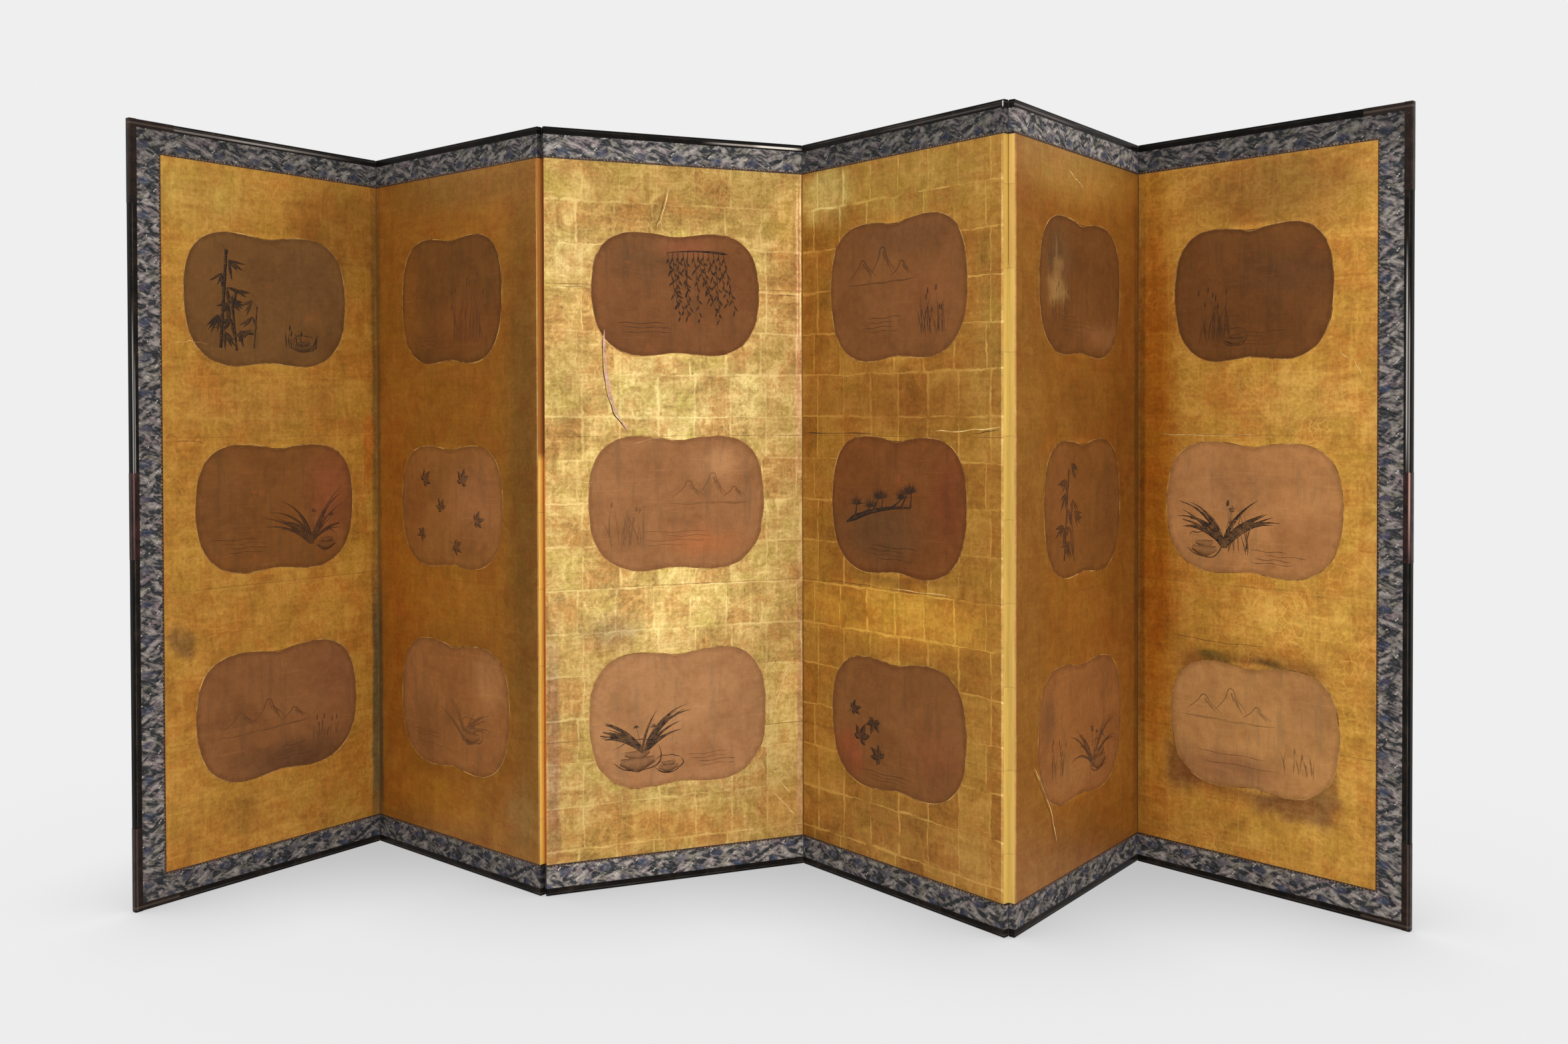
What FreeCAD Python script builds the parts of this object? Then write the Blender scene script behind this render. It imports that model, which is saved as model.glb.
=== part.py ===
import FreeCAD, Part
import os

import Sketcher

os.makedirs("parts", exist_ok=True)
doc = FreeCAD.newDocument("folding_screen")

# Driving sizes: lengths in millimetres, then angles in degrees, then plain counts
LENGTHS = {
    "screen_height": 1720.0,
    "panel_width": 622.0,
    "panel_thickness": 14.5,
    "face_paper": 1.25,
    "edge_paper": 0.3,
    "hinge_gap": 1.0,
    "fold_clearance": 0.1,
    "frame_proud": 0.3,
    "rail_height": 17.0,
    "rail_end_gap": 1.2,
    "rail_end_chamfer": 3.0,
    "frame_edge_radius": 2.4,
    "stile_width": 16.0,
    "frame_groove_width": 1.2,
    "frame_groove_depth": 0.4,
    "frame_groove_inset": 3.6,
    "border_width": 70.0,
    "strip_width": 4.5,
    "strip_thickness": 0.3,
    "brocade_thickness": 0.2,
    "band_flap": 24.0,
    "core_side": 26.0,
    "core_end": 30.0,
    "rib_width": 12.0,
    "fan_width": 412.0,
    "fan_height": 300.0,
    "fan_thickness": 0.2,
    "fitting_thickness": 0.5,
    "corner_fitting_length": 182.0,
    "corner_fitting_reach": 85.0,
    "fitting_floor_gap": 3.0,
    "side_fitting_length": 188.0,
}
ANGLES = {
    "first_heading": 52.46,
    "fold_angle_a": 93.3,
    "fold_angle_b": 62.1,
    "fold_angle_c": 71.6,
    "fold_angle_d": 102.3,
    "fold_angle_e": 98.5,
}
COUNTS = {
    "band_count": 10,
    "upright_rib_count": 3,
    "cross_rib_count": 9,
}

# Sizes that follow from the driving ones
DERIVED = {
    "body_height": "screen_height - 2 * rail_height",
    "body_top": "screen_height - rail_height",
    "core_thickness": "panel_thickness - 2 * face_paper",
    "core_half": "core_thickness / 2",
    "core_back": "panel_thickness - face_paper",
    "core_middle": "face_paper + core_half",
    "frame_depth": "panel_thickness + 2 * frame_proud",
    "frame_front": "0 - frame_proud",
    "frame_back": "panel_thickness + frame_proud",
    "stile_front_left": "0 - stile_width",
    "hinge_half": "hinge_gap / 2",
    "axis_off_face": "frame_proud + fold_clearance",
    "edge_outside": "0 - edge_paper",
    "core_side_right": "panel_width - core_side",
    "core_inner_width": "panel_width - 2 * core_side",
    "core_inner_height": "body_height - 2 * core_end",
    "core_inner_low": "rail_height + core_end",
    "core_end_span": "body_height - core_end",
    "upright_pitch": "core_inner_width / (upright_rib_count + 1)",
    "upright_start": "core_side + upright_pitch - rib_width / 2",
    "upright_span": "upright_pitch * (upright_rib_count - 1)",
    "cross_pitch": "core_inner_height / (cross_rib_count + 1)",
    "cross_start": "core_inner_low + cross_pitch - rib_width / 2",
    "cross_span": "cross_pitch * (cross_rib_count - 1)",
    "band_height": "screen_height / band_count",
    "band_step": "2 * band_height",
    "band_repeats": "band_count / 2 - 1",
    "band_span": "band_step * (band_repeats - 1)",
    "band_end_height": "band_height - border_width",
    "band_high": "screen_height - band_height",
    "flap_front": "face_paper - edge_paper",
    "flap_right": "panel_width - band_flap",
    "band_depth": "panel_thickness - flap_front",
    "brocade_width": "border_width - rail_height - strip_width",
    "brocade_high": "body_top - brocade_width",
    "brocade_front": "0 - brocade_thickness",
    "strip_low": "rail_height + brocade_width",
    "strip_high": "brocade_high - strip_width",
    "strip_front": "0 - strip_thickness",
    "side_border": "border_width - stile_width",
    "side_brocade": "side_border - strip_width",
    "side_border_right": "panel_width - side_border",
    "side_brocade_right": "panel_width - side_brocade",
    "side_brocade_height": "body_height - 2 * brocade_width",
    "side_strip_low": "strip_low + strip_width",
    "side_strip_height": "side_brocade_height - 2 * strip_width",
    "wrapped_width": "panel_width + 2 * edge_paper",
    "half_wrapped_width": "panel_width + edge_paper",
    "end_strip_width": "half_wrapped_width - side_brocade",
    "middle_rail_length": "panel_width - 2 * rail_end_gap",
    "end_rail_length": "panel_width - rail_end_gap",
    "top_rail_low": "screen_height - rail_height",
    "rail_low_groove": "rail_height - frame_groove_inset - frame_groove_width",
    "rail_high_groove": "top_rail_low + frame_groove_inset",
    "stile_left_groove": "0 - frame_groove_inset - frame_groove_width",
    "stile_right_groove": "panel_width + frame_groove_inset",
    "fitting_front": "frame_front - fitting_thickness",
    "fitting_depth": "frame_depth + 2 * fitting_thickness",
    "fitting_radius": "frame_edge_radius + fitting_thickness",
    "fitting_stile_width": "stile_width + fitting_thickness",
    "fitting_left": "0 - fitting_stile_width",
    "fitting_rail_height": "rail_height + fitting_thickness",
    "fitting_low_rail_height": "rail_height - fitting_floor_gap",
    "fitting_upper_height": "corner_fitting_length + fitting_thickness",
    "fitting_lower_height": "corner_fitting_length - fitting_floor_gap",
    "fitting_upper_low": "screen_height - corner_fitting_length",
    "fitting_reach_right": "panel_width - corner_fitting_reach",
    "side_fitting_low": "screen_height / 2 - side_fitting_length / 2",
}

sheet = doc.addObject("Spreadsheet::Sheet", "Sizes")
row = 0
for table in (LENGTHS, ANGLES, COUNTS):
    for alias, value in table.items():
        row += 1
        sheet.set("A%d" % row, alias.replace("_", " "))
        sheet.set("B%d" % row, str(value))
        sheet.setAlias("B%d" % row, alias)
for alias, formula in DERIVED.items():
    row += 1
    sheet.set("A%d" % row, alias.replace("_", " "))
    sheet.set("B%d" % row, "=" + formula)
    sheet.setAlias("B%d" % row, alias)
doc.recompute()


def size(alias):
    return float(getattr(sheet, alias))


def bind(feature, path, alias):
    feature.setExpression(path, "Sizes." + alias)


# Shapes shared by many pieces
def box(name, length, width, height, x=None, y=None, z=None):
    """A plain block in a panel's own frame, every size named in the sheet."""
    block = doc.addObject("Part::Box", name)
    bind(block, "Length", length)
    bind(block, "Width", width)
    bind(block, "Height", height)
    for axis, alias in (("x", x), ("y", y), ("z", z)):
        if alias:
            bind(block, ".Placement.Base." + axis, alias)
    return block


def joined(name, blocks):
    """Touching blocks made into one piece."""
    if len(blocks) == 1:
        return blocks[0]
    fusion = doc.addObject("Part::MultiFuse", name)
    fusion.Shapes = blocks
    fusion.Refine = True
    return fusion


def group(name, pieces):
    """Several like pieces kept apart in one node."""
    compound = doc.addObject("Part::Compound", name)
    compound.Links = pieces
    return compound


def new_body(name):
    body = doc.addObject("PartDesign::Body", name)
    body.AllowCompound = True
    return body


def origin_part(body, role):
    for feature in body.Origin.OriginFeatures:
        if feature.Role == role:
            return feature


def rectangle(body, role, name, across, up, x=None, y=None, z=None):
    """A rectangle from the sketch's origin, moved by the sketch's own offset."""
    sketch = body.newObject("Sketcher::SketchObject", name)
    sketch.AttachmentSupport = (origin_part(body, role), [""])
    sketch.MapMode = "FlatFace"
    wide = size(across)
    tall = size(up)
    corners = [(0, 0), (wide, 0), (wide, tall), (0, tall)]
    for k in range(4):
        start = FreeCAD.Vector(*corners[k], 0)
        end = FreeCAD.Vector(*corners[(k + 1) % 4], 0)
        sketch.addGeometry(Part.LineSegment(start, end), False)
    for k in range(4):
        sketch.addConstraint(Sketcher.Constraint("Coincident", k, 2, (k + 1) % 4, 1))
        kind = "Vertical" if k % 2 else "Horizontal"
        sketch.addConstraint(Sketcher.Constraint(kind, k))
    sketch.addConstraint(Sketcher.Constraint("Coincident", 0, 1, -1, 1))
    width_rule = sketch.addConstraint(Sketcher.Constraint("DistanceX", 0, 1, 0, 2, wide))
    height_rule = sketch.addConstraint(Sketcher.Constraint("DistanceY", 1, 1, 1, 2, tall))
    bind(sketch, "Constraints[%d]" % width_rule, across)
    bind(sketch, "Constraints[%d]" % height_rule, up)
    for axis, alias in (("x", x), ("y", y)):
        if alias:
            bind(sketch, ".AttachmentOffset.Base." + axis, alias)
    if z:
        # a sketch on the front plane looks forwards, so its own depth runs the other way
        sign = "-" if role == "XZ_Plane" else ""
        sketch.setExpression(".AttachmentOffset.Base.z", sign + "Sizes." + z)
    return sketch


def pad(body, sketch, name, length):
    """Material from the sketch towards +X, +Y or +Z."""
    feature = body.newObject("PartDesign::Pad", name)
    feature.Profile = sketch
    bind(feature, "Length", length)
    feature.Reversed = "XZ_Plane" in sketch.AttachmentSupport[0][0].Role
    body.Tip = feature
    return feature


def pocket(body, sketch, name, length):
    """A cut from the sketch towards +X, +Y or +Z."""
    feature = body.newObject("PartDesign::Pocket", name)
    feature.Profile = sketch
    bind(feature, "Length", length)
    feature.Reversed = "XZ_Plane" not in sketch.AttachmentSupport[0][0].Role
    body.Tip = feature
    return feature


def repeat(body, originals, name, role, span, count):
    pattern = body.newObject("PartDesign::LinearPattern", name)
    pattern.Originals = originals
    pattern.Direction = (origin_part(body, role), [""])
    bind(pattern, "Length", span)
    bind(pattern, "Occurrences", count)
    body.Tip = pattern
    return pattern


def twin(body, original, name, role, span):
    """The same member a second time, a named distance away."""
    pattern = body.newObject("PartDesign::LinearPattern", name)
    pattern.Originals = [original]
    pattern.Direction = (origin_part(body, role), [""])
    bind(pattern, "Length", span)
    pattern.Occurrences = 2
    body.Tip = pattern
    return pattern


def eased(body, base, name, kind, alias, wanted):
    """A fillet or a chamfer along the edges of a feature that the test picks."""
    doc.recompute()
    names = []
    for k, edge in enumerate(base.Shape.Edges, start=1):
        if wanted(edge):
            names.append("Edge%d" % k)
    feature = body.newObject("PartDesign::" + kind, name)
    feature.Base = (base, names)
    bind(feature, "Radius" if kind == "Fillet" else "Size", alias)
    body.Tip = feature
    return feature


def near(one, other):
    return abs(one - other) < size("edge_paper") / 100


# Lattice core: four outer members, upright ribs and cross ribs, half-lapped where they cross
def core_members(number):
    tag = "core_%d_" % number
    sides = new_body(tag + "sides")
    outline = rectangle(sides, "XZ_Plane", tag + "side_outline", "core_side", "body_height",
                        y="rail_height", z="face_paper")
    member = pad(sides, outline, tag + "side", "core_thickness")
    twin(sides, member, tag + "side_pair", "X_Axis", "core_side_right")

    ends = new_body(tag + "ends")
    outline = rectangle(ends, "XZ_Plane", tag + "end_outline", "core_inner_width", "core_end",
                        x="core_side", y="rail_height", z="face_paper")
    member = pad(ends, outline, tag + "end", "core_thickness")
    twin(ends, member, tag + "end_pair", "Z_Axis", "core_end_span")

    uprights = new_body(tag + "uprights")
    outline = rectangle(uprights, "XZ_Plane", tag + "upright_outline", "rib_width", "core_inner_height",
                        x="upright_start", y="core_inner_low", z="face_paper")
    rib = pad(uprights, outline, tag + "upright", "core_thickness")
    repeat(uprights, [rib], tag + "upright_row", "X_Axis", "upright_span", "upright_rib_count")
    outline = rectangle(uprights, "XZ_Plane", tag + "upright_lap_outline", "core_inner_width", "rib_width",
                        x="core_side", y="cross_start", z="face_paper")
    lap = pocket(uprights, outline, tag + "upright_lap", "core_half")
    repeat(uprights, [lap], tag + "upright_laps", "Z_Axis", "cross_span", "cross_rib_count")

    crosses = new_body(tag + "crosses")
    outline = rectangle(crosses, "XZ_Plane", tag + "cross_outline", "core_inner_width", "rib_width",
                        x="core_side", y="cross_start", z="face_paper")
    rib = pad(crosses, outline, tag + "cross", "core_thickness")
    repeat(crosses, [rib], tag + "cross_row", "Z_Axis", "cross_span", "cross_rib_count")
    outline = rectangle(crosses, "XZ_Plane", tag + "cross_lap_outline", "rib_width", "core_inner_height",
                        x="upright_start", y="core_inner_low", z="core_middle")
    lap = pocket(crosses, outline, tag + "cross_lap", "core_half")
    repeat(crosses, [lap], tag + "cross_laps", "X_Axis", "upright_span", "upright_rib_count")
    return [sides, ends, uprights, crosses]


# Hinge edges. Folds 2 and 4 close back to back, the others face to face. Ten paper bands join each
# pair of panels and take turns: one starts on the left panel's edge, the next on the right one's.
def edge_bands(number):
    """(side, starts on even places, flap under the front paper) for each hinge edge of a panel."""
    found = []
    if number > 1:
        backs_meet = (number - 1) % 2 == 0
        found.append(("left", not backs_meet, backs_meet))
    if number < 6:
        backs_meet = number % 2 == 0
        found.append(("right", backs_meet, backs_meet))
    return found


def band_rows(even):
    """(lowest height, band height, repeated) of the bands on one edge."""
    if even:
        return [("border_width", "band_end_height", False), ("band_step", "band_height", True)]
    return [("band_high", "band_end_height", False), ("band_height", "band_height", True)]


def face_plate(number, front):
    """A panel's layered paper face, with shallow seats for the flaps of the hinge bands."""
    side_name = "front" if front else "back"
    tag = "face_%d_%s_" % (number, side_name)
    plate = new_body(tag + "body")
    depth = None if front else "core_back"
    outline = rectangle(plate, "XZ_Plane", tag + "outline", "panel_width", "body_height",
                        y="rail_height", z=depth)
    pad(plate, outline, tag + "sheet", "face_paper")
    seat_depth = "flap_front" if front else "core_back"
    for side, even, flap_in_front in edge_bands(number):
        if flap_in_front != front:
            continue
        for low, tall, repeated in band_rows(even):
            seat_tag = tag + side + ("_seats" if repeated else "_seat")
            outline = rectangle(plate, "XZ_Plane", seat_tag + "_outline", "band_flap", tall,
                                x="flap_right" if side == "right" else None, y=low, z=seat_depth)
            seat = pocket(plate, outline, seat_tag, "edge_paper")
            if repeated:
                repeat(plate, [seat], seat_tag + "_row", "Z_Axis", "band_span", "band_repeats")
    return plate


def hinge_bands(number):
    """The paper bands that lie on a panel's hinge edges, each with its flap under the face paper."""
    bodies = []
    for side, even, flap_in_front in edge_bands(number):
        flap_y = "flap_front" if flap_in_front else "core_back"
        edge_y = "flap_front" if flap_in_front else None
        for low, tall, repeated in band_rows(even):
            tag = "bands_%d_%s_%s_" % (number, side, "row" if repeated else "end")
            strip = new_body(tag + "body")
            outline = rectangle(strip, "XZ_Plane", tag + "flap_outline", "band_flap", tall,
                                x="flap_right" if side == "right" else None, y=low, z=flap_y)
            flap = pad(strip, outline, tag + "flap", "edge_paper")
            outline = rectangle(strip, "XZ_Plane", tag + "edge_outline", "edge_paper", tall,
                                x="panel_width" if side == "right" else "edge_outside", y=low, z=edge_y)
            edge = pad(strip, outline, tag + "edge", "band_depth")
            if repeated:
                repeat(strip, [flap, edge], tag + "pattern", "Z_Axis", "band_span", "band_repeats")
            bodies.append(strip)
    return bodies


# Borders: brocade along the top and bottom, turned over the hinge edges, with a narrow strip inside;
# the two end panels carry both along their outer side as well
def border_band(tag, number, height_name, low, front, thickness, start_inside):
    """One horizontal strip of cloth in front of a panel, turned over its hinge edges."""
    left_hinge = number > 1
    right_hinge = number < 6
    if left_hinge and right_hinge:
        start, length = "edge_outside", "wrapped_width"
    elif right_hinge:
        start = "side_brocade" if start_inside else None
        length = "end_strip_width" if start_inside else "half_wrapped_width"
    else:
        start = "edge_outside"
        length = "end_strip_width" if start_inside else "half_wrapped_width"
    pieces = [box(tag + "front", length, thickness, height_name, start, front, low)]
    if left_hinge:
        pieces.append(box(tag + "left", "edge_paper", "panel_thickness", height_name, "edge_outside", None, low))
    if right_hinge:
        pieces.append(box(tag + "right", "edge_paper", "panel_thickness", height_name, "panel_width", None, low))
    return joined(tag + "cloth", pieces)


def brocade_border(number):
    pieces = []
    for place, low in (("bottom", "rail_height"), ("top", "brocade_high")):
        tag = "brocade_%d_%s_" % (number, place)
        pieces.append(border_band(tag, number, "brocade_width", low, "brocade_front", "brocade_thickness", False))
    if number in (1, 6):
        start = None if number == 1 else "side_brocade_right"
        pieces.append(box("brocade_%d_side" % number, "side_brocade", "brocade_thickness",
                          "side_brocade_height", start, "brocade_front", "strip_low"))
    return pieces


def edging_strip(number):
    pieces = []
    for place, low in (("bottom", "strip_low"), ("top", "strip_high")):
        tag = "strip_%d_%s_" % (number, place)
        pieces.append(border_band(tag, number, "strip_width", low, "strip_front", "strip_thickness", True))
    if number in (1, 6):
        start = "side_brocade" if number == 1 else "side_border_right"
        pieces.append(box("strip_%d_side" % number, "strip_width", "strip_thickness",
                          "side_strip_height", start, "strip_front", "side_strip_low"))
    return pieces


# Fan papers: two lobes with a notch between them at the top and a slight dent below
fan_across_shares = [0.0, 0.16, 0.34, 0.5, 0.68, 0.84, 0.94, 0.99, 1.0, 0.985, 0.93, 0.81, 0.64, 0.45, 0.24, 0.0]
fan_up_shares = [0.925, 0.965, 0.995, 1.0, 0.955, 0.82, 0.6, 0.3, 0.05, -0.26, -0.56, -0.8, -0.945, -1.0, -0.985, -0.95]
fan_outline_steps = 20
# Each panel's three papers from low to high: how far each is off the middle, in fan widths, how high its centre
# is up the gold, and its own width and height as shares of the usual ones
fan_shift_shares = {
    1: (0.007, 0.001, -0.051),
    2: (-0.005, -0.024, -0.019),
    3: (0.005, -0.001, -0.004),
    4: (0.005, 0.006, 0.004),
    5: (0.007, 0.032, 0.002),
    6: (0.015, 0.006, 0.005),
}
fan_height_shares = {
    1: (0.198, 0.501, 0.808),
    2: (0.199, 0.5, 0.811),
    3: (0.195, 0.509, 0.813),
    4: (0.196, 0.508, 0.813),
    5: (0.194, 0.506, 0.813),
    6: (0.188, 0.501, 0.809),
}
fan_wide_shares = {
    1: (1.032, 1.012, 1.029),
    2: (1.01, 0.951, 0.942),
    3: (1.039, 1.03, 0.982),
    4: (1.01, 1.015, 1.028),
    5: (1.024, 0.942, 0.993),
    6: (0.971, 1.019, 0.917),
}
fan_tall_shares = {
    1: (0.993, 0.99, 1.02),
    2: (1.013, 0.967, 1.0),
    3: (1.037, 1.03, 0.94),
    4: (0.99, 1.03, 1.04),
    5: (1.007, 1.0, 1.0),
    6: (0.947, 1.0, 1.007),
}
fan_tilts = {
    1: (1.6, -0.5, 0.8),
    2: (-1.2, 0.7, -0.6),
    3: (1.0, -0.2, 0.6),
    4: (0.9, -0.8, 1.4),
    5: (-0.7, 1.1, -1.3),
    6: (0.6, -1.0, 0.4),
}


def fan_outline(wide_share, tall_share):
    """The outline about its own centre, as a closed wire in the panel's plane."""
    half_wide = wide_share * size("fan_width") / 2
    half_tall = tall_share * size("fan_height") / 2
    halves = []
    for direction in (1, -1):
        points = []
        for across, up in zip(fan_across_shares, fan_up_shares):
            points.append(FreeCAD.Vector(direction * across * half_wide, 0, up * half_tall))
        curve = Part.BSplineCurve()
        curve.interpolate(points)
        halves.append(curve.discretize(fan_outline_steps))
    right, left = halves
    left.reverse()
    return Part.makePolygon(right + left[1:])


def fan_papers(number):
    """Three fan papers pasted on a panel, one above the other."""
    middle = size("panel_width") / 2
    if number == 1:
        middle += size("side_border") / 2
    if number == 6:
        middle -= size("side_border") / 2
    gold_low = size("border_width")
    gold_height = size("screen_height") - 2 * gold_low
    sheets = []
    for row, tilt in enumerate(fan_tilts[number]):
        face = Part.Face(fan_outline(fan_wide_shares[number][row], fan_tall_shares[number][row]))
        sheet_shape = face.extrude(FreeCAD.Vector(0, -size("fan_thickness"), 0))
        turn = FreeCAD.Rotation(FreeCAD.Vector(0, 1, 0), -tilt)
        across = middle + fan_shift_shares[number][row] * size("fan_width")
        centre = FreeCAD.Vector(across, 0, gold_low + fan_height_shares[number][row] * gold_height)
        sheet_shape.Placement = FreeCAD.Placement(centre, turn)
        sheets.append(sheet_shape)
    piece = doc.addObject("Part::Feature", "fans_%d" % number)
    piece.Shape = Part.makeCompound(sheets)
    return piece


# Lacquered frame: a rail above and below every panel, a stile on the outer side of the end panels
def is_upright(edge):
    ends = [vertex.Point for vertex in edge.Vertexes]
    return len(ends) == 2 and near(ends[0].x, ends[1].x) and near(ends[0].y, ends[1].y)


def frame_rail(number, top):
    tag = "rail_%d_%s_" % (number, "top" if top else "bottom")
    rail = new_body(tag + "body")
    end_panel = number in (1, 6)
    length = "end_rail_length" if end_panel else "middle_rail_length"
    start = None if number == 1 else "rail_end_gap"
    low = "top_rail_low" if top else None
    outline = rectangle(rail, "XY_Plane", tag + "outline", length, "frame_depth",
                        x=start, y="frame_front", z=low)
    bar = pad(rail, outline, tag + "bar", "rail_height")
    hinge_ends = []
    if number > 1:
        hinge_ends.append(size("rail_end_gap"))
    if number < 6:
        hinge_ends.append(size("panel_width") - size("rail_end_gap"))
    faces_y = (size("frame_front"), size("frame_back"))

    def at_corner(edge):
        point = edge.Vertexes[0].Point
        corner_x = any(near(point.x, x) for x in hinge_ends)
        corner_y = any(near(point.y, y) for y in faces_y)
        return is_upright(edge) and corner_x and corner_y

    ends = eased(rail, bar, tag + "ends", "Chamfer", "rail_end_chamfer", at_corner)
    outer_z = size("screen_height") if top else 0

    def outside(edge):
        points = [vertex.Point for vertex in edge.Vertexes]
        along = any(all(near(point.y, y) for point in points) for y in faces_y)
        return along and all(near(point.z, outer_z) for point in points)

    eased(rail, ends, tag + "edge", "Fillet", "frame_edge_radius", outside)
    groove_low = "rail_high_groove" if top else "rail_low_groove"
    outline = rectangle(rail, "YZ_Plane", tag + "groove_outline", "frame_groove_depth", "frame_groove_width",
                        x="frame_front", y=groove_low)
    pocket(rail, outline, tag + "groove", "panel_width")
    return rail


def frame_stile(number):
    tag = "stile_%d_" % number
    stile = new_body(tag + "body")
    left = number == 1
    start = "stile_front_left" if left else "panel_width"
    outline = rectangle(stile, "XY_Plane", tag + "outline", "stile_width", "frame_depth",
                        x=start, y="frame_front")
    pad(stile, outline, tag + "bar", "screen_height")
    groove = "stile_left_groove" if left else "stile_right_groove"
    outline = rectangle(stile, "XY_Plane", tag + "groove_outline", "frame_groove_width", "frame_groove_depth",
                        x=groove, y="frame_front")
    cut = pocket(stile, outline, tag + "groove", "screen_height")
    outer_x = size("stile_front_left") if left else size("panel_width") + size("stile_width")

    def outside(edge):
        return is_upright(edge) and near(edge.Vertexes[0].Point.x, outer_x)

    eased(stile, cut, tag + "edge", "Fillet", "frame_edge_radius", outside)
    return stile


# Metal fittings: thin sheet bent round the stiles and rails at the four corners and at mid height
def rounded_block(name, length, height, x, z, outer_x, outer_z):
    """A block one sheet thickness outside the frame, its outer edges rounded like the frame's."""
    block = box(name + "_block", length, "fitting_depth", height, x, "fitting_front", z)
    doc.recompute()
    faces_y = (size("fitting_front"), size("fitting_front") + size("fitting_depth"))
    picked = []
    for k, edge in enumerate(block.Shape.Edges, start=1):
        points = [vertex.Point for vertex in edge.Vertexes]
        on_face = any(all(near(point.y, y) for point in points) for y in faces_y)
        on_side = outer_x is not None and all(near(point.x, outer_x) for point in points)
        on_top = outer_z is not None and all(near(point.z, outer_z) for point in points)
        if on_face and (on_side or on_top):
            picked.append((k, size("fitting_radius"), size("fitting_radius")))
    if not picked:
        return block
    shaped = doc.addObject("Part::Fillet", name + "_round")
    shaped.Base = block
    shaped.Edges = picked
    return shaped


def sheet_shell(name, blocks, frame_pieces):
    """What is left of the blocks outside the frame and the panel's own body."""
    outer = joined(name + "_outer", blocks)
    body_block = box(name + "_panel", "panel_width", "fitting_depth", "body_height",
                     None, "fitting_front", "rail_height")
    filling = doc.addObject("Part::MultiFuse", name + "_filling")
    filling.Shapes = frame_pieces + [body_block]
    shell = doc.addObject("Part::Cut", name + "_shell")
    shell.Base = outer
    shell.Tool = filling
    return shell


def plain_stile(name, number):
    """The stile and rail zones as plain rounded blocks, so the shell also bridges the groove."""
    left = number == 1
    start = "stile_front_left" if left else "panel_width"
    outer_x = size("stile_front_left") if left else size("panel_width") + size("stile_width")
    block = box(name + "_block", "stile_width", "frame_depth", "screen_height", start, "frame_front", None)
    doc.recompute()
    picked = []
    for k, edge in enumerate(block.Shape.Edges, start=1):
        if is_upright(edge) and near(edge.Vertexes[0].Point.x, outer_x):
            picked.append((k, size("frame_edge_radius"), size("frame_edge_radius")))
    shaped = doc.addObject("Part::Fillet", name + "_round")
    shaped.Base = block
    shaped.Edges = picked
    return shaped


def plain_rail(name, top):
    outer_z = size("screen_height") if top else 0
    low = "top_rail_low" if top else None
    block = box(name + "_block", "panel_width", "frame_depth", "rail_height", None, "frame_front", low)
    doc.recompute()
    faces_y = (size("frame_front"), size("frame_back"))
    picked = []
    for k, edge in enumerate(block.Shape.Edges, start=1):
        points = [vertex.Point for vertex in edge.Vertexes]
        on_face = any(all(near(point.y, y) for point in points) for y in faces_y)
        if on_face and all(near(point.z, outer_z) for point in points):
            picked.append((k, size("frame_edge_radius"), size("frame_edge_radius")))
    shaped = doc.addObject("Part::Fillet", name + "_round")
    shaped.Base = block
    shaped.Edges = picked
    return shaped


def corner_fitting(number, top):
    tag = "corner_%d_%s" % (number, "top" if top else "bottom")
    left = number == 1
    stile_x = "fitting_left" if left else "panel_width"
    rail_x = None if left else "fitting_reach_right"
    outer_x = size("fitting_left") if left else size("panel_width") + size("fitting_stile_width")
    if top:
        stile_low, stile_tall = "fitting_upper_low", "fitting_upper_height"
        rail_low, rail_tall = "top_rail_low", "fitting_rail_height"
        outer_z = size("screen_height") + size("fitting_thickness")
    else:
        stile_low, stile_tall = "fitting_floor_gap", "fitting_lower_height"
        rail_low, rail_tall = "fitting_floor_gap", "fitting_low_rail_height"
        outer_z = None
    upright = rounded_block(tag + "_upright", "fitting_stile_width", stile_tall, stile_x, stile_low, outer_x, None)
    level = rounded_block(tag + "_level", "corner_fitting_reach", rail_tall, rail_x, rail_low, None, outer_z)
    frame_pieces = [plain_stile(tag + "_stile", number), plain_rail(tag + "_rail", top)]
    return sheet_shell(tag, [upright, level], frame_pieces)


def side_fitting(number):
    tag = "side_fitting_%d" % number
    left = number == 1
    stile_x = "fitting_left" if left else "panel_width"
    outer_x = size("fitting_left") if left else size("panel_width") + size("fitting_stile_width")
    upright = rounded_block(tag + "_upright", "fitting_stile_width", "side_fitting_length",
                            stile_x, "side_fitting_low", outer_x, None)
    return sheet_shell(tag, [upright], [plain_stile(tag + "_stile", number)])


# The pieces of every panel, each in its panel's own frame
nodes = []


def add_node(name, pieces, number):
    piece = pieces[0]
    if len(pieces) > 1:
        piece = group("node_" + name, pieces)
    piece.Label = name
    nodes.append((name, piece, number))


for number in range(1, 7):
    start = "panel_%d_" % number
    add_node(start + "lattice_core", core_members(number), number)
    add_node(start + "gold_face", [face_plate(number, True)], number)
    add_node(start + "back_paper", [face_plate(number, False)], number)
    add_node(start + "hinge_bands", hinge_bands(number), number)
    add_node(start + "brocade_border", brocade_border(number), number)
    add_node(start + "edging_strip", edging_strip(number), number)
    add_node(start + "fan_papers", [fan_papers(number)], number)
    add_node(start + "top_rail", [frame_rail(number, True)], number)
    add_node(start + "bottom_rail", [frame_rail(number, False)], number)
for number, side in ((1, "left"), (6, "right")):
    add_node(side + "_stile", [frame_stile(number)], number)
    corners = [corner_fitting(number, False), corner_fitting(number, True)]
    add_node(side + "_corner_fittings", corners, number)
    add_node(side + "_side_fitting", [side_fitting(number)], number)
doc.recompute()


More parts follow.
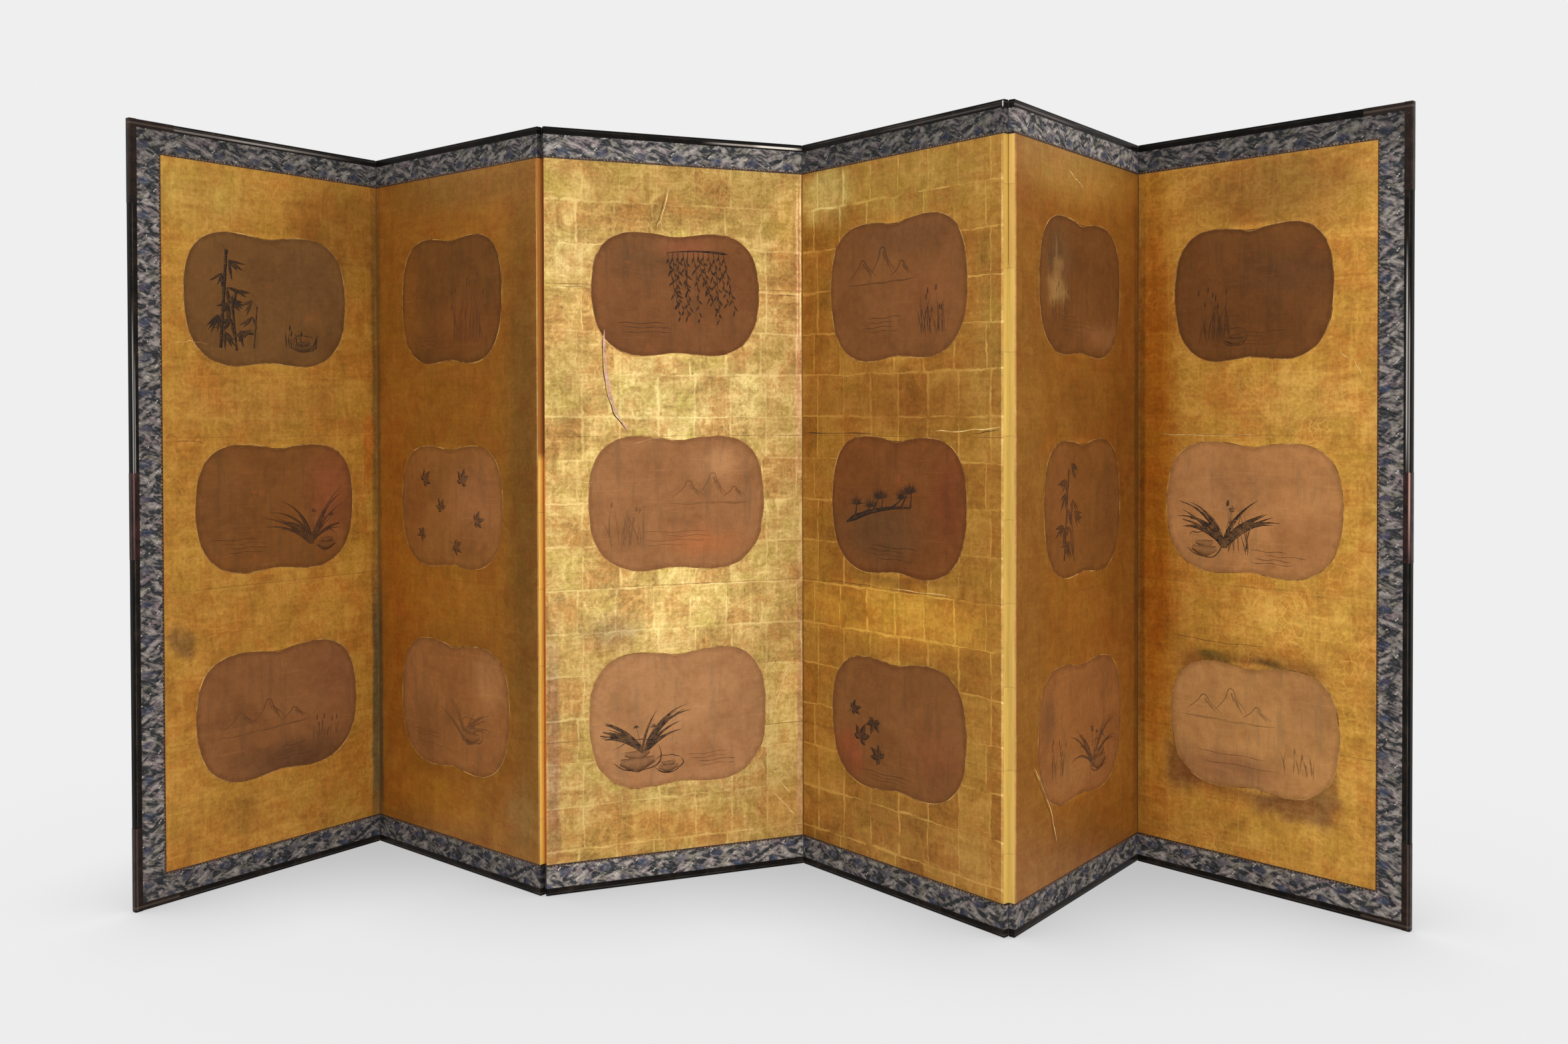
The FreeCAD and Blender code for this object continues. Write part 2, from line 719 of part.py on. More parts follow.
# Standing pose: the folds turn the panels to and fro, each about its hinge line off the panel's face
def standing_plan():
    """(corner, heading) of every panel and the hinge lines, seen from above."""
    turns = [size("fold_angle_" + letter) for letter in "abcde"]
    heading = size("first_heading")
    corner = FreeCAD.Vector(0, 0, 0)
    panels = []
    hinges = []
    for k in range(6):
        turn = FreeCAD.Rotation(FreeCAD.Vector(0, 0, 1), heading)
        panels.append((corner, heading))
        if k == 5:
            break
        faces_meet = k % 2 == 0
        off = -size("axis_off_face") if faces_meet else size("panel_thickness") + size("axis_off_face")
        reach = FreeCAD.Vector(size("panel_width") + size("hinge_half"), off, 0)
        hinge = corner + turn.multVec(reach)
        hinges.append(hinge)
        heading += -turns[k] if faces_meet else turns[k]
        turn = FreeCAD.Rotation(FreeCAD.Vector(0, 0, 1), heading)
        corner = hinge + turn.multVec(FreeCAD.Vector(size("hinge_half"), -off, 0))
    return panels, hinges


panels, hinges = standing_plan()


def place_all(shift):
    up = FreeCAD.Vector(0, 0, 1)
    for name, piece, number in nodes:
        corner, heading = panels[number - 1]
        piece.Placement = FreeCAD.Placement(corner + shift, FreeCAD.Rotation(up, heading))
    doc.recompute()


def whole_box():
    bound = FreeCAD.BoundBox()
    for name, piece, number in nodes:
        bound.add(piece.Shape.optimalBoundingBox(False, False))
    return bound


place_all(FreeCAD.Vector(0, 0, 0))
bound = whole_box()
shift = FreeCAD.Vector(-(bound.XMin + bound.XMax) / 2, -(bound.YMin + bound.YMax) / 2, -bound.ZMin)
place_all(shift)

# Every shape is sound before it is written
for feature in doc.Objects:
    if "Invalid" in feature.State or "Error" in feature.State:
        raise RuntimeError("unsound feature " + feature.Name)
for name, piece, number in nodes:
    shape = piece.Shape
    if shape.isNull() or not shape.isValid() or not shape.Solids:
        raise RuntimeError("unsound shape " + name)
for name, piece, number in nodes:
    piece.Shape.exportStep("parts/" + name + ".step")

bound = whole_box()
print("nodes", len(nodes), "size", round(bound.XLength, 3), round(bound.YLength, 3), round(bound.ZLength, 3))
for k, hinge in enumerate(hinges, start=1):
    print("hinge", k, round((hinge + shift).x, 4), round((hinge + shift).y, 4))
for k, (corner, heading) in enumerate(panels, start=1):
    print("panel", k, round((corner + shift).x, 4), round((corner + shift).y, 4), round(heading, 4))
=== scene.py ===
import math
import random

import bmesh
import bpy
from mathutils import Matrix, Vector


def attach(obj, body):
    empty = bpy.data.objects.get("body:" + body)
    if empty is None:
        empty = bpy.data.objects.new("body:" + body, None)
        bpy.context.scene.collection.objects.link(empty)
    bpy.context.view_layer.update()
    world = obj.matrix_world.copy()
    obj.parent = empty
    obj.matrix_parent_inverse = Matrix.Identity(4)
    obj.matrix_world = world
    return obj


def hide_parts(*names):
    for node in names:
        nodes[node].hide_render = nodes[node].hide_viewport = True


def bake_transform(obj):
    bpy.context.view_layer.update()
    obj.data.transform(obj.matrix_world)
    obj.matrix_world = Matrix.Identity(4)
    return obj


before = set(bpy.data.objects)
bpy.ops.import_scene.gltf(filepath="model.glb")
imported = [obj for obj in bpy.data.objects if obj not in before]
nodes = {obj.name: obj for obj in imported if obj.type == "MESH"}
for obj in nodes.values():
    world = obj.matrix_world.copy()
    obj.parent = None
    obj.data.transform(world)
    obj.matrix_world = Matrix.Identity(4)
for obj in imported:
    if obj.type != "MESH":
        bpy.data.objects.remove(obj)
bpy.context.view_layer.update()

# Sizes of the screen in metres, as its solids have them
tall = 1.72
wide = 0.622
thick = 0.0145
face_paper = 0.00125
rail = 0.017
stile = 0.016
border = 0.07
ribbon_wide = 0.0045
cloth_thick = 0.0002
ribbon_thick = 0.0003
band_thick = 0.0003
hinge_gap = 0.001
frame_proud = 0.0003
fitting_thick = 0.0005
band_tall = tall / 10
cloth_wide = border - rail - ribbon_wide
side_border = border - stile
side_cloth = side_border - ribbon_wide
body_low = rail
body_high = tall - rail
fan_wide = 0.412
fan_tall = 0.3
fan_thick = 0.0002

# Where each panel stands: its left front corner on the floor, and the way that it runs, in degrees
corners = {
    1: (-1.3405761, -0.1671301),
    2: (-0.9603204, 0.3261996),
    3: (-0.4737625, -0.0833159),
    4: (0.1071451, 0.1419006),
    5: (0.5279574, -0.3366062),
    6: (0.9124983, 0.1533286),
}
headings = {1: 52.46, 2: -40.84, 3: 21.26, 4: -50.34, 5: 51.96, 6: -46.54}
panel_numbers = range(1, 7)


def panel_matrix(number):
    x, y = corners[number]
    return Matrix.Translation((x, y, 0)) @ Matrix.Rotation(math.radians(headings[number]), 4, "Z")


def linear(red, green, blue):
    """A colour seen as 0 to 255 in each part, as the light values that shaders take."""
    parts = []
    for value in (red, green, blue):
        value /= 255
        parts.append(value / 12.92 if value <= 0.04045 else ((value + 0.055) / 1.055) ** 2.4)
    return (*parts, 1)


# Modelling helpers
def begin():
    """Object mode, with nothing selected."""
    if bpy.context.active_object and bpy.context.active_object.mode != "OBJECT":
        bpy.ops.object.mode_set(mode="OBJECT")
    bpy.ops.object.select_all(action="DESELECT")


def only(obj):
    begin()
    obj.select_set(True)
    bpy.context.view_layer.objects.active = obj


def named(name):
    obj = bpy.context.object
    obj.name = name
    obj.data.name = name
    return obj


def settle(obj):
    """Puts the object's place into its mesh."""
    only(obj)
    bpy.ops.object.transform_apply(location=True, rotation=True, scale=True)


def finish_modifiers(obj):
    only(obj)
    for modifier in list(obj.modifiers):
        bpy.ops.object.modifier_apply(modifier=modifier.name)


def edit(obj, mode="VERT"):
    only(obj)
    bpy.ops.object.mode_set(mode="EDIT")
    bpy.ops.mesh.select_mode(type=mode)
    bpy.ops.mesh.select_all(action="DESELECT")


def leave():
    bpy.ops.object.mode_set(mode="OBJECT")


def pick(obj, test, kind="verts"):
    """Selects the vertices, edges or faces whose middle passes the test."""
    work = bmesh.from_edit_mesh(obj.data)
    found = 0
    for part in getattr(work, kind):
        middle = part.co if kind == "verts" else sum((v.co for v in part.verts), Vector()) / len(part.verts)
        part.select_set(bool(test(middle)))
        found += part.select
    bmesh.update_edit_mesh(obj.data)
    return found


def upright_grid(name, x_low, x_high, z_low, z_high, y, step):
    """A sheet of small squares that faces forwards, in a panel's own frame."""
    begin()
    middle = ((x_low + x_high) / 2, y, (z_low + z_high) / 2)
    across = max(1, round((x_high - x_low) / step))
    up = max(1, round((z_high - z_low) / step))
    bpy.ops.mesh.primitive_grid_add(x_subdivisions=across, y_subdivisions=up, size=1,
                                    location=middle, rotation=(math.radians(90), 0, 0))
    obj = named(name)
    obj.scale = (x_high - x_low, z_high - z_low, 1)
    settle(obj)
    return obj


def ripple(obj, number):
    """Lets a pasted sheet follow the slight unevenness of its panel."""
    modifier = obj.modifiers.new("unevenness", "DISPLACE")
    modifier.texture = unevenness[number]
    modifier.texture_coords = "LOCAL"
    modifier.direction = "Y"
    modifier.mid_level = 0.25
    modifier.strength = 0.0007


def give_thickness(obj, amount, offset=-1, even=True):
    modifier = obj.modifiers.new("thickness", "SOLIDIFY")
    modifier.thickness = amount
    modifier.offset = offset
    modifier.use_even_offset = even


def smooth(obj, degrees=35):
    only(obj)
    bpy.ops.object.shade_smooth_by_angle(angle=math.radians(degrees))


def stand(obj, number, material=None):
    """Moves a piece from its panel's own frame to where the panel stands, and gives it the material if one is
    given.
    """
    obj.matrix_world = panel_matrix(number)
    settle(obj)
    if material:
        obj.data.materials.clear()
        obj.data.materials.append(material)
    return obj


def ride(obj, number):
    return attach(obj, "panel_%d" % number)


unevenness = {}
for number in panel_numbers:
    clouds = bpy.data.textures.new("unevenness_%d" % number, "CLOUDS")
    clouds.noise_scale = 0.11 + 0.013 * number
    clouds.noise_depth = 2
    unevenness[number] = clouds


# Shader helpers
def add(tree, kind, inputs=None, **settings):
    """A node with its settings, and its inputs set to a value or linked to a socket."""
    node = tree.nodes.new(kind)
    for name, value in settings.items():
        setattr(node, name, value)
    for name, value in (inputs or {}).items():
        if isinstance(value, bpy.types.NodeSocket):
            tree.links.new(value, node.inputs[name])
        else:
            node.inputs[name].default_value = value
    return node


def calc(tree, operation, first, second=None, third=None, clamp=False):
    inputs = {0: first}
    if second is not None:
        inputs[1] = second
    if third is not None:
        inputs[2] = third
    return add(tree, "ShaderNodeMath", inputs, operation=operation, use_clamp=clamp).outputs[0]


def times(tree, first, second, clamp=False):
    return calc(tree, "MULTIPLY", first, second, clamp=clamp)


def plus(tree, first, second, clamp=False):
    return calc(tree, "ADD", first, second, clamp=clamp)


def minus(tree, first, second):
    return calc(tree, "SUBTRACT", first, second)


def vector(tree, operation, first, second=None, **inputs):
    node = add(tree, "ShaderNodeVectorMath", {0: first}, operation=operation)
    if second is not None:
        if isinstance(second, bpy.types.NodeSocket):
            tree.links.new(second, node.inputs[1])
        else:
            node.inputs[1].default_value = second
    for name, value in inputs.items():
        if isinstance(value, bpy.types.NodeSocket):
            tree.links.new(value, node.inputs[name])
        else:
            node.inputs[name].default_value = value
    return node.outputs["Value" if operation in ("LENGTH", "DISTANCE", "DOT_PRODUCT") else "Vector"]


def mix(tree, share, first, second, blend="MIX"):
    node = add(tree, "ShaderNodeMix", data_type="RGBA", blend_type=blend, clamp_factor=True)
    for index, value in ((0, share), (6, first), (7, second)):
        if isinstance(value, bpy.types.NodeSocket):
            tree.links.new(value, node.inputs[index])
        else:
            node.inputs[index].default_value = value
    return node.outputs[2]


def band(tree, value, low, high, to_low=0.0, to_high=1.0):
    """The value stretched from one span to another, and kept inside it."""
    inputs = {"Value": value, "From Min": low, "From Max": high, "To Min": to_low, "To Max": to_high}
    return add(tree, "ShaderNodeMapRange", inputs, clamp=True).outputs[0]


def noise(tree, point, scale, detail=3.0, roughness=0.55, distortion=0.0, colour=False):
    inputs = {"Vector": point, "Scale": scale, "Detail": detail, "Roughness": roughness,
              "Distortion": distortion}
    return add(tree, "ShaderNodeTexNoise", inputs).outputs["Color" if colour else "Fac"]


def stretched(tree, point, scale, turn=(0, 0, 0), shift=(0, 0, 0)):
    inputs = {"Vector": point, "Location": shift, "Rotation": turn, "Scale": scale}
    return add(tree, "ShaderNodeMapping", inputs).outputs[0]


def parts_of(tree, point):
    return add(tree, "ShaderNodeSeparateXYZ", {0: point}).outputs


def together(tree, x, y, z=0.0):
    return add(tree, "ShaderNodeCombineXYZ", {0: x, 1: y, 2: z}).outputs[0]


socket_kinds = {"colour": "NodeSocketColor", "value": "NodeSocketFloat", "point": "NodeSocketVector"}


def new_group(name, inputs, outputs):
    """A shader group with named sockets, each given as (name, kind, start value)."""
    tree = bpy.data.node_groups.new(name, "ShaderNodeTree")
    for label, kind, value in inputs:
        socket = tree.interface.new_socket(label, in_out="INPUT", socket_type=socket_kinds[kind])
        if value is not None:
            socket.default_value = value
    for label, kind in outputs:
        tree.interface.new_socket(label, in_out="OUTPUT", socket_type=socket_kinds[kind])
    source = tree.nodes.new("NodeGroupInput").outputs
    target = tree.nodes.new("NodeGroupOutput").inputs
    return tree, source, target


def use(tree, group, inputs):
    node = tree.nodes.new("ShaderNodeGroup")
    node.node_tree = group
    for name, value in inputs.items():
        if isinstance(value, bpy.types.NodeSocket):
            tree.links.new(value, node.inputs[name])
        else:
            node.inputs[name].default_value = value
    return node.outputs


def new_material(name):
    material = bpy.data.materials.new(name)
    material.use_nodes = True
    tree = material.node_tree
    return material, tree, tree.nodes["Principled BSDF"]


def relief(tree, shader, height, strength, distance=0.001):
    bump = add(tree, "ShaderNodeBump", {"Height": height, "Strength": strength, "Distance": distance})
    tree.links.new(bump.outputs[0], shader.inputs["Normal"])


def panel_point(tree, number):
    """The place on a panel, in the panel's own frame: across, in depth and up."""
    raw = add(tree, "ShaderNodeTexCoord").outputs["Object"]
    x, y = corners[number]
    inputs = {"Vector": raw, "Location": (x, y, 0), "Rotation": (0, 0, math.radians(headings[number]))}
    return add(tree, "ShaderNodeMapping", inputs, vector_type="TEXTURE").outputs[0]


# Soft-edged patches that change the tone of one place: marks of age and wear, and also painted highlights,
# reflections and shade
def soft_patch_group():
    tree, source, target = new_group("soft_patch", [
        ("Point", "point", None),
        ("Warp", "point", None),
        ("Centre", "point", (0, 0, 0)),
        ("Half size", "point", (0.1, 0.1, 1)),
        ("Ragged", "value", 0.02),
        ("Soft", "value", 0.5),
        ("Boxy", "value", 0.0),
    ], [("Mask", "value")])
    warp = vector(tree, "SCALE", source["Warp"], Scale=source["Ragged"])
    moved = vector(tree, "ADD", source["Point"], warp)
    moved = vector(tree, "DIVIDE", vector(tree, "SUBTRACT", moved, source["Centre"]), source["Half size"])
    across, up, _ = parts_of(tree, vector(tree, "ABSOLUTE", moved))
    round_off = calc(tree, "SQRT", plus(tree, calc(tree, "POWER", across, 2.0), calc(tree, "POWER", up, 2.0)))
    square_off = calc(tree, "MAXIMUM", across, up)
    far = plus(tree, times(tree, square_off, source["Boxy"]),
               times(tree, round_off, minus(tree, 1.0, source["Boxy"])))
    inner = minus(tree, 1.0, source["Soft"])
    outer = plus(tree, 1.0, times(tree, source["Soft"], 0.5))
    mask = add(tree, "ShaderNodeMapRange", {"Value": far, "From Min": inner, "From Max": outer, "To Min": 1.0,
                                            "To Max": 0.0}, interpolation_type="SMOOTHSTEP").outputs[0]
    tree.links.new(mask, target["Mask"])
    return tree


soft_patch = soft_patch_group()


def toned_by_patches(tree, flat, warp, tone, patches):
    """A base tone changed by patches: middle, half size, softness, raggedness, boxy, tone, strength."""
    colour = linear(*tone)
    for x, z, half_x, half_z, soft, ragged, boxy, patch_tone, strength in patches:
        mask = use(tree, soft_patch, {
            "Point": flat, "Warp": warp, "Centre": (x / 1000, z / 1000, 0),
            "Half size": (half_x / 1000, half_z / 1000, 1), "Ragged": ragged / 1000, "Soft": soft,
                                      "Boxy": boxy,
        })["Mask"]
        colour = mix(tree, times(tree, mask, strength), colour, linear(*patch_tone))
    return colour


def flat_and_warp(tree, point, scale=14.0):
    """A panel's own flat coordinates, and a wandering shift about zero that makes borders ragged."""
    x, y, z = parts_of(tree, point)
    flat = together(tree, x, z)
    waver = noise(tree, flat, scale, 4.0, 0.62, colour=True)
    return flat, vector(tree, "SCALE", vector(tree, "SUBTRACT", waver, (0.5, 0.5, 0.5)), Scale=2.0)


# Gold leaf: squares laid with overlapping edges over joined paper sheets, worn and clouded with age
leaf_wide = 0.089
leaf_tall = 0.0975
paper_sheet = 0.343


def gold_leaf_group():
    tree, source, target = new_group("gold_leaf", [
        ("Point", "point", None),
        ("Warp", "point", None),
        ("Tone", "colour", linear(190, 150, 70)),
        ("Squares", "value", 0.5),
        ("Seams", "value", 0.5),
        ("Mottle", "value", 0.5),
        ("Clouds", "value", 0.4),
        ("Specks", "value", 0.3),
        ("Crackle", "value", 0.3),
        ("Joins", "value", 0.6),
        ("Shift", "point", (0, 0, 0)),
    ], [("Color", "colour"), ("Roughness", "value"), ("Height", "value")])
    flat = vector(tree, "ADD", source["Point"], source["Shift"])
    ragged = noise(tree, flat, 95.0, 2.0, colour=True)
    ragged = vector(tree, "SCALE", vector(tree, "SUBTRACT", ragged, (0.5, 0.5, 0.5)), Scale=0.005)
    laid = vector(tree, "ADD", vector(tree, "ADD", flat, ragged),
                  vector(tree, "SCALE", source["Warp"], Scale=0.008))
    patchy = noise(tree, flat, 5.5, 3.0, 0.6)
    seam_wide = band(tree, noise(tree, flat, 8.0, 2.0), 0.35, 0.75, 0.0008, 0.0062)
    squares = add(tree, "ShaderNodeTexBrick", {
        "Vector": laid, "Color1": (0, 0, 0, 1), "Color2": (1, 1, 1, 1), "Mortar": (0.5, 0.5, 0.5, 1),
        "Scale": 1.0, "Mortar Size": seam_wide, "Mortar Smooth": 0.7, "Bias": 0.0,
        "Brick Width": leaf_wide, "Row Height": leaf_tall,
    }, offset=0.14, offset_frequency=3, squash=1.0)
    seam = times(tree, squares.outputs["Fac"], band(tree, noise(tree, flat, 21.0, 4.0, 0.7), 0.34, 0.62))
    seam = times(tree, seam, source["Seams"])
    each = minus(tree, squares.outputs["Color"], 0.5)
    leaf_tone = times(tree, each, source["Squares"])
    cloud = times(tree, band(tree, patchy, 0.3, 0.7, -0.5, 0.5), source["Clouds"])
    blot = band(tree, noise(tree, flat, 21.0, 6.0, 0.74, 0.8), 0.36, 0.64, -0.5, 0.5)
    fine = band(tree, noise(tree, flat, 130.0, 5.0, 0.75), 0.35, 0.65, -0.5, 0.5)
    level_streaks = noise(tree, stretched(tree, flat, (9, 75, 1)), 1.0, 4.0, 0.7)
    upright_streaks = noise(tree, stretched(tree, flat, (70, 7, 1)), 1.0, 4.0, 0.7)
    streaks = band(tree, plus(tree, level_streaks, upright_streaks), 0.86, 1.14, -0.5, 0.5)
    level_threads = noise(tree, stretched(tree, flat, (14, 300, 1)), 1.0, 3.0, 0.6)
    upright_threads = noise(tree, stretched(tree, flat, (240, 10, 1)), 1.0, 3.0, 0.6)
    threads = band(tree, plus(tree, level_threads, upright_threads), 0.8, 1.2, -0.5, 0.5)
    mottled = plus(tree, plus(tree, times(tree, blot, 0.8), times(tree, fine, 0.6)),
                   plus(tree, times(tree, threads, 0.14), times(tree, streaks, 0.32)))
    level = plus(tree, plus(tree, leaf_tone, cloud), times(tree, mottled, source["Mottle"]))
    # some leaves and blotches lean to olive, others to tan
    lean = band(tree, plus(tree, noise(tree, flat, 13.0, 4.0, 0.7), times(tree, each, 0.14)), 0.38, 0.66,
                -1.0, 1.0)
    lean = times(tree, lean, plus(tree, source["Mottle"], 0.1))
    base = mix(tree, times(tree, lean, -1.0, clamp=True), source["Tone"],
               vector(tree, "MULTIPLY", source["Tone"], (1.02, 0.82, 0.78)))
    base = mix(tree, times(tree, lean, 1.0, clamp=True), base,
               vector(tree, "MULTIPLY", source["Tone"], (0.93, 1.04, 0.8)))
    deep = vector(tree, "MULTIPLY", source["Tone"], (0.5, 0.42, 0.33))
    bright = vector(tree, "MULTIPLY", source["Tone"], (1.5, 1.75, 2.3))
    toned = mix(tree, times(tree, level, -1.5, clamp=True), base, deep)
    toned = mix(tree, times(tree, level, 1.5, clamp=True), toned, bright)
    # pale network of fine cracks
    veined = vector(tree, "ADD", flat, vector(tree, "SCALE", source["Warp"], Scale=0.02))
    veins = add(tree, "ShaderNodeTexVoronoi", {"Vector": veined, "Scale": 38.0, "Randomness": 1.0},
                feature="DISTANCE_TO_EDGE").outputs["Distance"]
    veins = times(tree, band(tree, veins, 0.01, 0.07, 1.0, 0.0),
                  band(tree, noise(tree, flat, 9.0, 3.0), 0.48, 0.66))
    veins = times(tree, veins, source["Crackle"])
    pale = calc(tree, "MAXIMUM", times(tree, seam, 0.85), times(tree, veins, 0.6), clamp=True)
    toned = mix(tree, pale, toned, bright)
    # worn specks that show the reddish ground, and thin brown lines where paper sheets join
    speck = band(tree, noise(tree, flat, 80.0, 5.0, 0.78), 0.6, 0.7)
    speck = times(tree, speck, band(tree, noise(tree, flat, 6.5, 3.0, 0.6), 0.42, 0.62))
    speck = times(tree, speck, source["Specks"], clamp=True)
    toned = mix(tree, speck, toned, linear(112, 74, 42))
    x, z, _ = parts_of(tree, vector(tree, "ADD", flat, vector(tree, "SCALE", source["Warp"], Scale=0.0012)))
    joint = calc(tree, "LESS_THAN", calc(tree, "PINGPONG", z, paper_sheet / 2), 0.0007)
    joint = times(tree, times(tree, joint, band(tree, patchy, 0.4, 0.55, 0.25, 0.9)), source["Joins"])
    toned = mix(tree, joint, toned, linear(98, 62, 30))
    tree.links.new(toned, target["Color"])
    rough = plus(tree, times(tree, minus(tree, level, speck), -0.14), 0.45)
    tree.links.new(rough, target["Roughness"])
    lift = plus(tree, times(tree, seam, 0.3), times(tree, mottled, 0.9))
    tree.links.new(minus(tree, lift, times(tree, joint, 0.6)), target["Height"])
    return tree


gold_leaf = gold_leaf_group()

# Where the fan papers lie
fan_tilts = {
    1: (1.6, -0.5, 0.8),
    2: (-1.2, 0.7, -0.6),
    3: (1.0, -0.2, 0.6),
    4: (0.9, -0.8, 1.4),
    5: (-0.7, 1.1, -1.3),
    6: (0.6, -1.0, 0.4),
}
fan_places = ("low", "middle", "high")
# How far each paper is off the middle, in fan widths, how high up the gold, and its share of the usual size
fan_shift_shares = {
    1: (0.007, 0.001, -0.051),
    2: (-0.005, -0.024, -0.019),
    3: (0.005, -0.001, -0.004),
    4: (0.005, 0.006, 0.004),
    5: (0.007, 0.032, 0.002),
    6: (0.015, 0.006, 0.005),
}
fan_height_shares = {
    1: (0.198, 0.501, 0.808),
    2: (0.199, 0.5, 0.811),
    3: (0.195, 0.509, 0.813),
    4: (0.196, 0.508, 0.813),
    5: (0.194, 0.506, 0.813),
    6: (0.188, 0.501, 0.809),
}
fan_wide_shares = {
    1: (1.032, 1.012, 1.029),
    2: (1.01, 0.951, 0.942),
    3: (1.039, 1.03, 0.982),
    4: (1.01, 1.015, 1.028),
    5: (1.024, 0.942, 0.993),
    6: (0.971, 1.019, 0.917),
}
fan_tall_shares = {
    1: (0.993, 0.99, 1.02),
    2: (1.013, 0.967, 1.0),
    3: (1.037, 1.03, 0.94),
    4: (0.99, 1.03, 1.04),
    5: (1.007, 1.0, 1.0),
    6: (0.947, 1.0, 1.007),
}


def fan_centre(number, place):
    middle = wide / 2
    if number == 1:
        middle += side_border / 2
    if number == 6:
        middle -= side_border / 2
    across = middle + fan_shift_shares[number][place] * fan_wide
    return Vector((across, 0, border + fan_height_shares[number][place] * (tall - 2 * border)))
